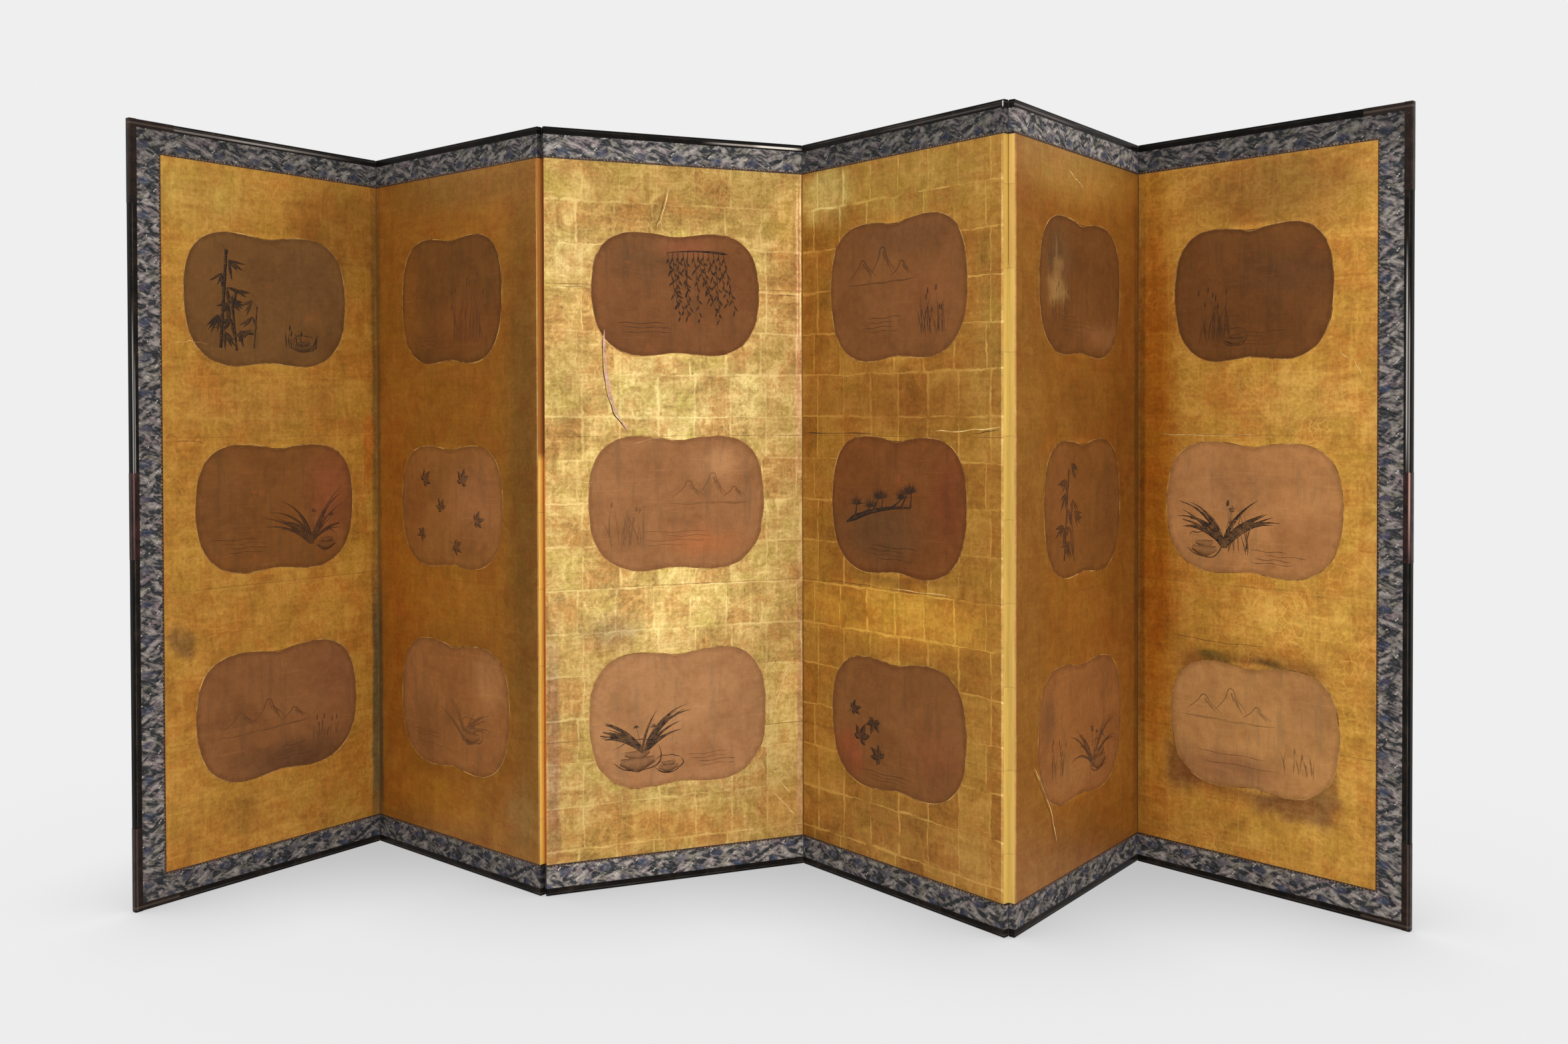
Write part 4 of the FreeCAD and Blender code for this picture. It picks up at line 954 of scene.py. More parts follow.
for number in panel_numbers:
    material, tree, shader = new_material("lacquer_panel_%d" % number)
    point = panel_point(tree, number)
    x, y, z = parts_of(tree, point)
    inward = calc(tree, "MINIMUM", z, minus(tree, tall, z))
    if number == 1:
        inward = calc(tree, "MINIMUM", inward, plus(tree, x, stile))
    if number == 6:
        inward = calc(tree, "MINIMUM", inward, minus(tree, wide + stile, x))
    made = use(tree, old_lacquer, {"Point": point, "Wear": 0.35, "Inward": inward})
    # painted shade: the top rails of panels 2, 3 and 6 are darkened
    top_rail_shade = 0.6 if number in (2, 3, 6) else 0.0
    colour = mix(tree, band(tree, z, tall - 0.024, tall - 0.018, 0.0, top_rail_shade), made["Color"], linear(6, 6, 5))
    flat = together(tree, x, z)
    before = band(tree, y, 0.001, 0.003, 1.0, 0.0)
    # painted highlights laid on the front faces of the rails and stiles
    for x_middle, z_middle, half_x, half_z, soft, ragged, boxy, tone, strength in frame_painted_highlights.get(number, ()):
        mask = use(tree, soft_patch, {
            "Point": flat, "Warp": (0, 0, 0), "Centre": (x_middle / 1000, z_middle / 1000, 0),
            "Half size": (half_x / 1000, half_z / 1000, 1), "Ragged": 0.0, "Soft": soft, "Boxy": boxy,
        })["Mask"]
        colour = mix(tree, times(tree, times(tree, mask, before), strength), colour, linear(*tone))
    tree.links.new(colour, shader.inputs["Base Color"])
    tree.links.new(made["Roughness"], shader.inputs["Roughness"])
    shader.inputs["Specular IOR Level"].default_value = 0.04
    relief(tree, shader, made["Height"], 0.2, 0.0003)
    lacquer_materials[number] = material


# Patinated copper fittings, with a painted sheen band on the rail arms of the corner fittings and a painted
# highlight along the outer edge of the side fittings
def metal_material(name, number, tone, warm, highlight_strength=0.0):
    material, tree, shader = new_material(name)
    point = panel_point(tree, number)
    cloud = noise(tree, point, 38.0, 5.0, 0.65, 0.4)
    fine = noise(tree, point, 300.0, 3.0, 0.7)
    toned = mix(tree, band(tree, cloud, 0.34, 0.68), linear(*tone), linear(*warm))
    toned = mix(tree, band(tree, fine, 0.58, 0.74, 0.0, 0.5), toned, linear(24, 18, 16))
    x, y, z = parts_of(tree, point)
    inward = calc(tree, "MINIMUM", z, minus(tree, tall, z))
    # painted sheen: a paler band a little in from the top and bottom ends, on the rail arms of the corner
    # fittings
    wear_and_sheen = times(tree, band(tree, inward, 0.0062, 0.0078), band(tree, inward, 0.0105, 0.012, 1.0, 0.0))
    toned = mix(tree, times(tree, wear_and_sheen, 0.5), toned, linear(92, 80, 70))
    # painted highlight along the outer edge, strongest on the side fittings near their top
    outer = calc(tree, "MINIMUM", plus(tree, x, stile), minus(tree, wide + stile, x))
    bright = times(tree, band(tree, outer, 0.001, 0.0028), band(tree, outer, 0.0042, 0.0062, 1.0, 0.0))
    bright = times(tree, bright, band(tree, z, 0.77, 0.88, 0.1, highlight_strength))
    toned = mix(tree, bright, toned, linear(206, 164, 152))
    tree.links.new(toned, shader.inputs["Base Color"])
    tree.links.new(band(tree, cloud, 0.3, 0.7, 0.46, 0.32), shader.inputs["Roughness"])
    shader.inputs["Metallic"].default_value = 0.55
    shader.inputs["Specular IOR Level"].default_value = 0.1
    relief(tree, shader, plus(tree, cloud, times(tree, fine, 0.4)), 0.25, 0.0004)
    return material


# Plain papers: the back, the hinge bands and the wood inside
sheet_tall = 0.43
ring_wide = 0.06


def back_material(number):
    """Printed back paper: pale interlaced rings on a grey brown ground."""
    material, tree, shader = new_material("back_paper_panel_%d" % number)
    point = panel_point(tree, number)
    x, y, z = parts_of(tree, point)
    ring = None
    for shift in (0.0, 0.5):
        cell_x = minus(tree, calc(tree, "FRACT", plus(tree, calc(tree, "DIVIDE", x, ring_wide), shift)), 0.5)
        cell_z = minus(tree, calc(tree, "FRACT", plus(tree, calc(tree, "DIVIDE", z, ring_wide), shift)), 0.5)
        far = calc(tree, "SQRT", plus(tree, calc(tree, "POWER", cell_x, 2.0),
                                      calc(tree, "POWER", cell_z, 2.0)))
        line = band(tree, calc(tree, "ABSOLUTE", minus(tree, far, 0.47)), 0.016, 0.03, 1.0, 0.0)
        ring = line if ring is None else calc(tree, "MAXIMUM", ring, line)
    worn = band(tree, noise(tree, point, 12.0, 5.0, 0.65), 0.38, 0.62)
    cloud = noise(tree, point, 3.0, 4.0, 0.6)
    toned = mix(tree, band(tree, cloud, 0.3, 0.7), linear(98, 84, 66), linear(122, 106, 84))
    fibre = noise(tree, stretched(tree, point, (60, 60, 420)), 1.0, 3.0)
    toned = mix(tree, band(tree, fibre, 0.5, 0.75, 0.0, 0.3), toned, linear(78, 66, 52))
    toned = mix(tree, times(tree, times(tree, ring, worn), 0.7), toned, linear(158, 144, 118))
    # joins of the pasted sheets, rubbed edges, and scuffs near the foot
    join = calc(tree, "MINIMUM", calc(tree, "PINGPONG", z, sheet_tall / 2),
                calc(tree, "PINGPONG", x, wide / 4))
    join = band(tree, join, 0.0007, 0.0016, 1.0, 0.0)
    toned = mix(tree, times(tree, join, 0.55), toned, linear(74, 62, 48))
    rim = calc(tree, "MINIMUM", calc(tree, "MINIMUM", x, minus(tree, wide, x)),
               calc(tree, "MINIMUM", z, minus(tree, tall, z)))
    wear_and_sheen = times(tree, band(tree, rim, 0.004, 0.05, 1.0, 0.0), band(tree, worn, 0.2, 0.9, 0.8, 0.1))
    toned = mix(tree, times(tree, wear_and_sheen, 0.7), toned, linear(80, 66, 50))
    scuff = times(tree, band(tree, z, 0.02, 0.32, 1.0, 0.15),
                  band(tree, noise(tree, point, 34.0, 5.0, 0.75), 0.56, 0.66))
    toned = mix(tree, times(tree, scuff, 0.6), toned, linear(164, 150, 124))
    tree.links.new(toned, shader.inputs["Base Color"])
    shader.inputs["Roughness"].default_value = 0.78
    raised = plus(tree, fibre, times(tree, plus(tree, ring, join), 0.4))
    relief(tree, shader, raised, 0.25, 0.0003)
    return material


def hinge_paper_material(name, number, upper, lower, change):
    """Gilded paper on a hinge edge or across a fold, with one tone above a height and one below it."""
    material, tree, shader = new_material("hinge_paper_" + name)
    point = panel_point(tree, number)
    x, y, z = parts_of(tree, point)
    place = calc(tree, "FLOOR", calc(tree, "DIVIDE", z, band_tall))
    each = add(tree, "ShaderNodeTexWhiteNoise", {"W": plus(tree, place, 7.3 * number)},
               noise_dimensions="1D").outputs["Value"]
    along = noise(tree, stretched(tree, point, (200, 200, 9)), 1.0, 4.0, 0.65)
    toned = mix(tree, band(tree, z, change / 1000 - 0.01, change / 1000 + 0.01), linear(*lower),
                linear(*upper))
    share = plus(tree, times(tree, each, 0.35), band(tree, along, 0.35, 0.7, 0.0, 0.45), clamp=True)
    toned = mix(tree, share, vector(tree, "MULTIPLY", toned, (1.12, 1.12, 1.12)),
                vector(tree, "MULTIPLY", toned, (0.72, 0.66, 0.6)))
    # painted shade: the paper darkens towards the back of the hinge edge, deeper in the groove
    inward = band(tree, y, 0.0, thick, 0.0, 0.22)
    toned = mix(tree, inward, toned, vector(tree, "MULTIPLY", toned, (0.6, 0.52, 0.42)))
    seam = calc(tree, "LESS_THAN", calc(tree, "PINGPONG", z, band_tall / 2), 0.0007)
    toned = mix(tree, times(tree, seam, 0.4), toned, linear(120, 84, 44))
    # where it lies behind the cloth and the rails the paper is painted dark grey, as painted shade in the
    # narrow groove between the rail ends
    from_middle = calc(tree, "ABSOLUTE", minus(tree, z, tall / 2))
    groove_shade = calc(tree, "GREATER_THAN", from_middle, tall / 2 - border)
    toned = mix(tree, groove_shade, toned, linear(46, 46, 50))
    tree.links.new(toned, shader.inputs["Base Color"])
    tree.links.new(band(tree, along, 0.3, 0.7, 0.5, 0.38), shader.inputs["Roughness"])
    shader.inputs["Metallic"].default_value = 0.3
    shader.inputs["Specular IOR Level"].default_value = 0.2
    relief(tree, shader, minus(tree, along, seam), 0.3, 0.0004)
    return material


def cedar_material():
    material, tree, shader = new_material("cedar_lattice")
    point = add(tree, "ShaderNodeTexCoord").outputs["Object"]
    grain = noise(tree, stretched(tree, point, (90, 90, 6)), 1.0, 4.0, 0.6, 0.6)
    toned = mix(tree, band(tree, grain, 0.3, 0.7), linear(176, 132, 92), linear(214, 178, 134))
    tree.links.new(toned, shader.inputs["Base Color"])
    shader.inputs["Roughness"].default_value = 0.7
    relief(tree, shader, grain, 0.2, 0.0003)
    return material


cedar = cedar_material()
# Hinge edges by panel and side, folds by left panel: tone above, tone below, height of the change in mm
# The tones are partly the papers' own colour and partly painted light and shade, such as the darker tones of
# panel 3's left edge, which lies in shade
edge_looks = {
    (1, "right"): ((116, 80, 38), (104, 82, 48), 700),
    (2, "left"): ((112, 78, 36), (100, 78, 46), 700),
    (2, "right"): ((184, 118, 52), (240, 196, 92), 985),
    (3, "left"): ((128, 78, 38), (196, 112, 54), 985),
    (3, "right"): ((150, 106, 52), (150, 106, 52), 700),
    (4, "left"): ((142, 98, 40), (142, 98, 40), 700),
    (4, "right"): ((200, 166, 82), (206, 174, 90), 1380),
    (5, "left"): ((208, 170, 90), (206, 174, 92), 1380),
    (5, "right"): ((104, 64, 26), (104, 62, 24), 700),
    (6, "left"): ((116, 72, 26), (116, 70, 24), 700),
}
fold_looks = {
    1: ((92, 70, 38), (88, 74, 46), 800),
    2: ((96, 56, 26), (150, 84, 36), 985),
    3: ((110, 74, 34), (104, 66, 30), 900),
    4: ((112, 74, 32), (200, 162, 82), 1380),
    5: ((84, 52, 22), (90, 54, 22), 900),
}
edge_materials = {key: hinge_paper_material("panel_%d_%s" % key, key[0], *look) for key,
                  look in edge_looks.items()}
fold_materials = {left: hinge_paper_material("fold_%d_%d" % (left, left + 1), left, *look)
                  for left, look in fold_looks.items()}
back_materials = {number: back_material(number) for number in panel_numbers}


def dress(node, material):
    """Gives a solid that stays in view its finish."""
    mesh = nodes[node].data
    mesh.materials.clear()
    mesh.materials.append(material)


for number in panel_numbers:
    start = "panel_%d_" % number
    dress(start + "lattice_core", cedar)
    dress(start + "back_paper", back_materials[number])
    dress(start + "top_rail", lacquer_materials[number])
    dress(start + "bottom_rail", lacquer_materials[number])
nail_materials = {}
for side, number in (("left", 1), ("right", 6)):
    nail_materials[number] = metal_material(side + "_nail_patina", number, (40, 34, 31), (66, 54, 46))
    dress(side + "_stile", lacquer_materials[number])
    dress(side + "_corner_fittings",
          metal_material(side + "_corner_patina", number, (30, 24, 22), (50, 38, 32)))
    # the side fittings get a faint painted highlight on panel 1 and a strong one on panel 6
    dress(side + "_side_fitting", metal_material(side + "_side_patina", number, (32, 23, 23), (58, 38, 36),
                                                 0.2 if number == 1 else 0.85))


# Gold faces
def gold_face(number):
    name = "panel_%d_gilded_face" % number
    obj = upright_grid(name, 0, wide, body_low, body_high, 0, 0.008)
    ripple(obj, number)
    give_thickness(obj, face_paper)
    finish_modifiers(obj)
    smooth(obj)
    stand(obj, number, gold_materials[number])
    ride(obj, number)
    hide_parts("panel_%d_gold_face" % number)
    return obj


# Cloth borders, turned over the hinge edges
def write_cloth_map(obj, turned):
    """How far each point lies along and up the cloth, so that the weave goes round the edges."""
    mesh = obj.data
    layer = mesh.uv_layers.new(name="cloth")
    for loop in mesh.loops:
        point = mesh.vertices[loop.vertex_index].co
        along = point.x
        if turned and point.x > wide / 2:
            along += max(0, point.y)
        elif turned:
            along -= max(0, point.y)
        layer.data[loop.index].uv = (along, point.z)
    mesh.uv_layers.active = layer


def turn_over_edge(obj, x):
    edit(obj, "EDGE")
    if pick(obj, lambda p: abs(p.x - x) < 1e-5, "edges"):
        bpy.ops.mesh.extrude_region_move(TRANSFORM_OT_translate={"value": (0, thick, 0)})
    leave()


def pasted_strip(name, number, x_low, x_high, z_low, z_high, amount, material, node):
    """A cloth or ribbon strip in front of the gold, turned over the hinge edges that it reaches."""
    hinge_left = number > 1 and x_low < 0
    hinge_right = number < 6 and x_high > wide
    obj = upright_grid(name, x_low, x_high, z_low, z_high, -amount, 0.008)
    ripple(obj, number)
    finish_modifiers(obj)
    if hinge_left:
        turn_over_edge(obj, x_low)
    if hinge_right:
        turn_over_edge(obj, x_high)
    give_thickness(obj, amount)
    finish_modifiers(obj)
    write_cloth_map(obj, hinge_left or hinge_right)
    smooth(obj)
    stand(obj, number, material)
    ride(obj, number)
    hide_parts(node)
    return obj


def ribbon_strip(name, number, x_low, x_high, z_low, z_high):
    return pasted_strip(name, number, x_low, x_high, z_low, z_high, ribbon_thick,
                        ribbon_material, "panel_%d_edging_strip" % number)


def cloth_strip(name, number, x_low, x_high, z_low, z_high):
    """A brocade strip in front of the gold, turned over the hinge edges that it reaches."""
    obj = pasted_strip(name, number, x_low, x_high, z_low, z_high, cloth_thick,
                       brocade_materials[number], "panel_%d_brocade_border" % number)
    return obj


def borders(number):
    start = "panel_%d_" % number
    left = -band_thick if number > 1 else 0
    right = wide + band_thick if number < 6 else wide
    inner_left = side_cloth if number == 1 else left
    inner_right = wide - side_cloth if number == 6 else right
    low_cloth = rail + cloth_wide
    high_cloth = tall - rail - cloth_wide
    for place, cloth_low, ribbon_low in (("bottom", rail, low_cloth),
                                         ("top", high_cloth, high_cloth - ribbon_wide)):
        ribbon = ribbon_strip(start + "ribbon_" + place, number, inner_left, inner_right,
                              ribbon_low, ribbon_low + ribbon_wide)
        gold_edge = border if place == "bottom" else tall - border
        for corner in ribbon.data.uv_layers["cloth"].data:
            corner.uv = (corner.uv[0], abs(corner.uv[1] - gold_edge))
        cloth_strip(start + "brocade_" + place, number, left, right, cloth_low, cloth_low + cloth_wide)
    if number in (1, 6):
        x_low, x_high = (side_cloth, side_border) if number == 1 else (wide - side_border, wide - side_cloth)
        ribbon = ribbon_strip(start + "ribbon_side", number, x_low, x_high,
                              low_cloth + ribbon_wide, high_cloth - ribbon_wide)
        gold_edge = side_border if number == 1 else wide - side_border
        for corner in ribbon.data.uv_layers["cloth"].data:
            corner.uv = (corner.uv[1], abs(corner.uv[0] - gold_edge))
        x_low, x_high = (0, side_cloth) if number == 1 else (wide - side_cloth, wide)
        cloth_strip(start + "brocade_side", number, x_low, x_high, low_cloth, high_cloth)


# Flat strokes: a tapered line lying on the paper or the gold, thin as ink or as a lifted edge
def stroke_piece(name, strokes, half_thick, closed=False):
    """One mesh of tapered strokes, each given as points across and up in mm and widths in mm."""
    curve = bpy.data.curves.new(name, "CURVE")
    curve.dimensions = "3D"
    curve.bevel_depth = 0.001
    curve.bevel_resolution = 0
    curve.resolution_u = 4
    curve.use_fill_caps = not closed
    for points, widths in strokes:
        spline = curve.splines.new("BEZIER")
        spline.bezier_points.add(len(points) - 1)
        spline.use_cyclic_u = closed
        for knot, (x, z), width in zip(spline.bezier_points, points, widths):
            knot.co = (x / 1000, 0, z / 1000)
            knot.radius = width / 2
            knot.handle_left_type = knot.handle_right_type = "AUTO"
    obj = bpy.data.objects.new(name, curve)
    bpy.context.scene.collection.objects.link(obj)
    only(obj)
    bpy.ops.object.convert(target="MESH")
    obj = named(name)
    for vertex in obj.data.vertices:
        vertex.co.y = max(-half_thick, min(half_thick, vertex.co.y))
    return obj


# Fan papers
fan_across_shares = [0.0, 0.16, 0.34, 0.5, 0.68, 0.84, 0.94, 0.99, 1.0, 0.985, 0.93, 0.81, 0.64, 0.45, 0.24,
                     0.0]
fan_up_shares = [0.925, 0.965, 0.995, 1.0, 0.955, 0.82, 0.6, 0.3, 0.05, -0.26, -0.56, -0.8, -0.945, -1.0,
                 -0.985, -0.95]


def fan_matrix(number, place, y):
    return (Matrix.Translation(fan_centre(number, place) + Vector((0, y, 0)))
            @ Matrix.Rotation(math.radians(-fan_tilts[number][place]), 4, "Y"))


def fan_knots(number, place):
    """The fan's rim as knots in mm, all the way round."""
    half_wide = 500 * fan_wide * fan_wide_shares[number][place]
    half_tall = 500 * fan_tall * fan_tall_shares[number][place]
    knots = list(zip(fan_across_shares, fan_up_shares))
    knots += [(-across, up) for across, up in reversed(knots[1:-1])]
    return [(across * half_wide, up * half_tall) for across, up in knots]


def fan_outline(name, number, place):
    """The fan's rim as a smooth closed line, cut into even steps."""
    knots = fan_knots(number, place)
    curve = bpy.data.curves.new(name, "CURVE")
    spline = curve.splines.new("BEZIER")
    spline.bezier_points.add(len(knots) - 1)
    for knot, (x, z) in zip(spline.bezier_points, knots):
        knot.co = (x / 1000, 0, z / 1000)
        knot.handle_left_type = knot.handle_right_type = "AUTO"
    spline.use_cyclic_u = True
    spline.resolution_u = 4
    curve.dimensions = "3D"
    obj = bpy.data.objects.new(name, curve)
    bpy.context.scene.collection.objects.link(obj)
    only(obj)
    bpy.ops.object.convert(target="MESH")
    return bpy.context.object


def write_rim_distance(obj, rim_points, reach):
    """Stores how far each point is from the rim, as a share of the given reach."""
    values = obj.data.attributes.new("rim", "FLOAT", "POINT")
    for vertex, value in zip(obj.data.vertices, values.data):
        value.value = min(1, min((vertex.co - point).length for point in rim_points) / reach)


def fan_paper(number, place):
    name = "panel_%d_fan_paper_%s" % (number, fan_places[place])
    obj = fan_outline(name, number, place)
    edit(obj)
    bpy.ops.mesh.select_all(action="SELECT")
    bpy.ops.mesh.remove_doubles(threshold=1e-6)
    leave()
    rim_points = [vertex.co.copy() for vertex in obj.data.vertices]
    edit(obj)
    bpy.ops.mesh.select_all(action="SELECT")
    bpy.ops.mesh.fill_grid(span=26, offset=0)
    bpy.ops.mesh.select_all(action="SELECT")
    bpy.ops.mesh.subdivide(number_cuts=1)
    leave()
    if obj.data.polygons[0].normal.y > 0:
        edit(obj)
        bpy.ops.mesh.select_all(action="SELECT")
        bpy.ops.mesh.flip_normals()
        leave()
    write_rim_distance(obj, rim_points, 0.02)
    obj.matrix_world = fan_matrix(number, place, -fan_thick)
    settle(obj)
    ripple(obj, number)
    give_thickness(obj, fan_thick, even=False)
    finish_modifiers(obj)
    smooth(obj)
    stand(obj, number, fan_material(number, place))
    ride(obj, number)
    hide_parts("panel_%d_fan_papers" % number)
    return obj


def fan_rim(number, place):
    name = "panel_%d_fan_rim_%s" % (number, fan_places[place])
    knots = fan_knots(number, place)
    chance = random.Random(number * 10 + place)
    widths = [chance.uniform(0.8, 2.8) for _ in knots]
    obj = stroke_piece(name, [(knots, widths)], 0.00008, closed=True)
    obj.matrix_world = fan_matrix(number, place, -fan_thick)
    settle(obj)
    ripple(obj, number)
    finish_modifiers(obj)
    smooth(obj)
    stand(obj, number, rim_material)
    return ride(obj, number)


# Ink motifs: common plants, stones, hills and water lines in tapered strokes, in mm about the fan's middle
def curved(x, z, direction, length, bend, steps):
    """Points along a stroke that sets out in a direction and turns by bend on its way, both in degrees."""
    points = [(x, z)]
    for step in range(steps):
        turn = math.radians(direction + bend * (step + 0.5) / steps)
        x += length / steps * math.cos(turn)
        z += length / steps * math.sin(turn)
        points.append((x, z))
    return points


def tapered(points, width, shares):
    return points, [width * share for share in shares]


blade_taper = (0.35, 0.8, 1, 0.9, 0.6, 0.35, 0.08)
leaf_taper = (0.12, 0.8, 1, 0.6, 0.05)


def blade(x, z, direction, length, bend, width):
    return tapered(curved(x, z, direction, length, bend, 6), width, blade_taper)


def leaf(x, z, direction, length, width, bend=15):
    return tapered(curved(x, z, direction, length, bend, 4), width, leaf_taper)


def bamboo(chance, x, z, height, lean, width):
    strokes = []
    top = z
    while top < z + height:
        length = chance.uniform(26, 36)
        points = curved(x, top, 90 - lean, length, 0, 2)
        strokes.append(tapered(points, width, (1.15, 0.85, 1.1)))
        x, top = points[-1]
        strokes.append(([(x - width * 0.8, top + 1), (x, top), (x + width * 0.8, top + 1)], (0.5, 1.2, 0.5)))
        side = chance.choice((-1, 1))
        twig = curved(x, top, 90 - side * 48, chance.uniform(12, 22), side * 14, 3)
        strokes.append(tapered(twig, 1.1, (1, 0.8, 0.7, 0.5)))
        for _ in range(chance.randint(4, 6)):
            hang = -90 + side * chance.uniform(-25, 80)
            strokes.append(leaf(*twig[-1], hang, chance.uniform(28, 50), chance.uniform(4, 6.4), side * 12))
        top += 2
    return strokes


def orchid(chance, x, z, blades, reach, width):
    strokes = []
    for _ in range(blades):
        side = chance.choice((-1, 1))
        rise = 90 - side * chance.uniform(5, 45)
        strokes.append(blade(x + chance.uniform(-5, 5), z, rise, chance.uniform(0.55, 1) * reach,
                             -side * chance.uniform(25, 75), width * chance.uniform(0.7, 1.1)))
    for _ in range(3):
        stalk = curved(x, z, 90 + chance.uniform(-35, 35), reach * chance.uniform(0.35, 0.55),
                       chance.uniform(-20, 20), 3)
        strokes.append(tapered(stalk, 1.1, (1, 0.8, 0.7, 0.5)))
        for turn in (20, 75, 120, 170):
            strokes.append(leaf(*stalk[-1], turn + chance.uniform(-10, 10), chance.uniform(7, 11), 2.6))
    return strokes


def reeds(chance, x, z, count, height, spread):
    strokes = []
    for _ in range(count):
        foot = x + chance.uniform(-spread, spread)
        tall_blade = blade(foot, z + chance.uniform(-5, 5), 90 + chance.uniform(-14, 14),
                           height * chance.uniform(0.5, 1), chance.uniform(-30, 30), chance.uniform(1.4, 2.6))
        strokes.append(tall_blade)
        if chance.random() < 0.35:
            tip_x, tip_z = tall_blade[0][-1]
            strokes.append(tapered(curved(tip_x, tip_z, 80, 15, 10, 3), 3.6, (0.3, 1, 0.9, 0.2)))
    return strokes


def willow(chance, x, z, fronds, length, spread):
    branch = curved(x + spread + 12, z, 172, 2 * spread + 24, 16, fronds - 1)
    strokes = [tapered(branch, 5, [0.2] + [1 - 0.8 * knot / fronds for knot in range(1, fronds)])]
    for start in branch[1:]:
        points = curved(*start, -90 + chance.uniform(-12, 12), length * chance.uniform(0.45, 1),
                        chance.uniform(-22, 22), 11)
        strokes.append(tapered(points, 1.3, (1, 1, 0.95, 0.9, 0.9, 0.8, 0.8, 0.7, 0.6, 0.5, 0.4, 0.3)))
        for index, knot in enumerate(points[1:]):
            side = 1 if index % 2 else -1
            strokes.append(leaf(*knot, -90 + side * chance.uniform(12, 46), chance.uniform(11, 20), 3.2))
    return strokes


def ripples(chance, x, z, count, length, apart):
    strokes = []
    for row in range(count):
        start = x + chance.uniform(-0.2, 0.2) * length
        far = length * chance.uniform(0.45, 1)
        up = z - row * apart
        points = [(start + far * step / 6, up + 1.6 * math.sin(step * 1.7 + row)) for step in range(7)]
        strokes.append(tapered(points, chance.uniform(0.8, 1.5), (0.3, 1, 0.7, 1, 0.6, 1, 0.2)))
    return strokes


def hills(chance, x, z, length, height):
    """Outline strokes of far peaks, with slanting strokes down their shaded sides and mist at their feet."""
    lines, washes = [], []
    for middle, reach, rise in ((0.26, 0.26, 0.7), (0.55, 0.24, 1.0), (0.82, 0.2, 0.5)):
        left, top, right = x + (middle - reach) * length, (x + middle * length,
                                                           z + rise * height), x + (middle + reach) * length
        outline = []
        for step in range(9):
            share = step / 4 - 1
            fall = rise * height * abs(share) ** 0.8
            outline.append((top[0] + share * reach * length * (1 + chance.uniform(-0.06, 0.06)),
                            top[1] - fall + chance.uniform(-1.5, 1.5)))
        lines.append(tapered(outline[1:-1], 1.9, (0.3, 0.8, 1, 1.3, 1, 0.7, 0.2)))
        for share in (0.12, 0.3, 0.5):
            foot = (top[0] + share * reach * length, top[1] - rise * height * (share + 0.3))
            crest = (top[0] + share * 0.5 * reach * length, top[1] - rise * height * (0.5 * share) ** 0.8 - 3)
            washes.append(([crest, foot], (chance.uniform(3, 6), 1.2)))
        washes.append(([(left, z - 3), (top[0], z - chance.uniform(3, 7)), (right, z - 3)],
                       (0.6, chance.uniform(2, 4), 0.6)))
    return lines, washes


def stone(chance, x, z, across, up):
    """A stone's outline, open on the lit side, and its shaded foot."""
    lines = []
    for start, far, width in ((200, 190, 2.4), (35, 120, 1.6)):
        points = []
        for step in range(7):
            turn = math.radians(start + far * step / 6)
            wobble = chance.uniform(0.9, 1.1)
            points.append((x + across * wobble * math.cos(turn), z + up * wobble * math.sin(turn)))
        lines.append(tapered(points, width, (0.3, 1, 1.3, 0.8, 1.1, 0.8, 0.2)))
    washes = [([(x - 0.7 * across, z - 0.35 * up), (x, z - 0.55 * up), (x + 0.7 * across, z - 0.3 * up)],
               (0.3 * up, 0.75 * up, 0.3 * up)),
              ([(x - 0.5 * across, z + 0.1 * up), (x + 0.1 * across, z), (x + 0.5 * across, z + 0.2 * up)],
               (0.2 * up, 0.5 * up, 0.2 * up))]
    return lines, washes


def maple(chance, x, z, size_of, turn):
    strokes = []
    for part, share in ((-100, 0.55), (-48, 0.85), (0, 1), (48, 0.85), (100, 0.55)):
        strokes.append(leaf(x, z, turn + part + chance.uniform(-5, 5), size_of * share, size_of * 0.3,
                            chance.uniform(-8, 8)))
    strokes.append(tapered(curved(x, z, turn + 180, size_of * 0.9, 20, 3), 1.1, (1, 0.8, 0.7, 0.4)))
    return strokes


def pine(chance, x, z, direction, reach, bend, width):
    """A bough with short twigs, each ending in a half-round tuft of needles."""
    bough = curved(x, z, direction, reach, bend, 7)
    strokes = [tapered(bough, width, (0.3, 1, 0.8, 0.7, 0.6, 0.5, 0.4, 0.2))]
    for index, knot in enumerate(bough[1:]):
        lift = (74, 30, 52)[index % 3]
        twig = curved(*knot, direction + bend + lift + chance.uniform(-8, 8), chance.uniform(24, 40), 10, 3)
        strokes.append(tapered(twig, width * 0.4, (1, 0.8, 0.6, 0.5)))
        for needle in range(17):
            turned = 90 + (needle - 8) * 10.5 + chance.uniform(-4, 4)
            strokes.append(tapered(curved(*twig[-1], turned, chance.uniform(17, 27), 6, 2), 1.7,
                                   (1, 0.8, 0.2)))
    return strokes


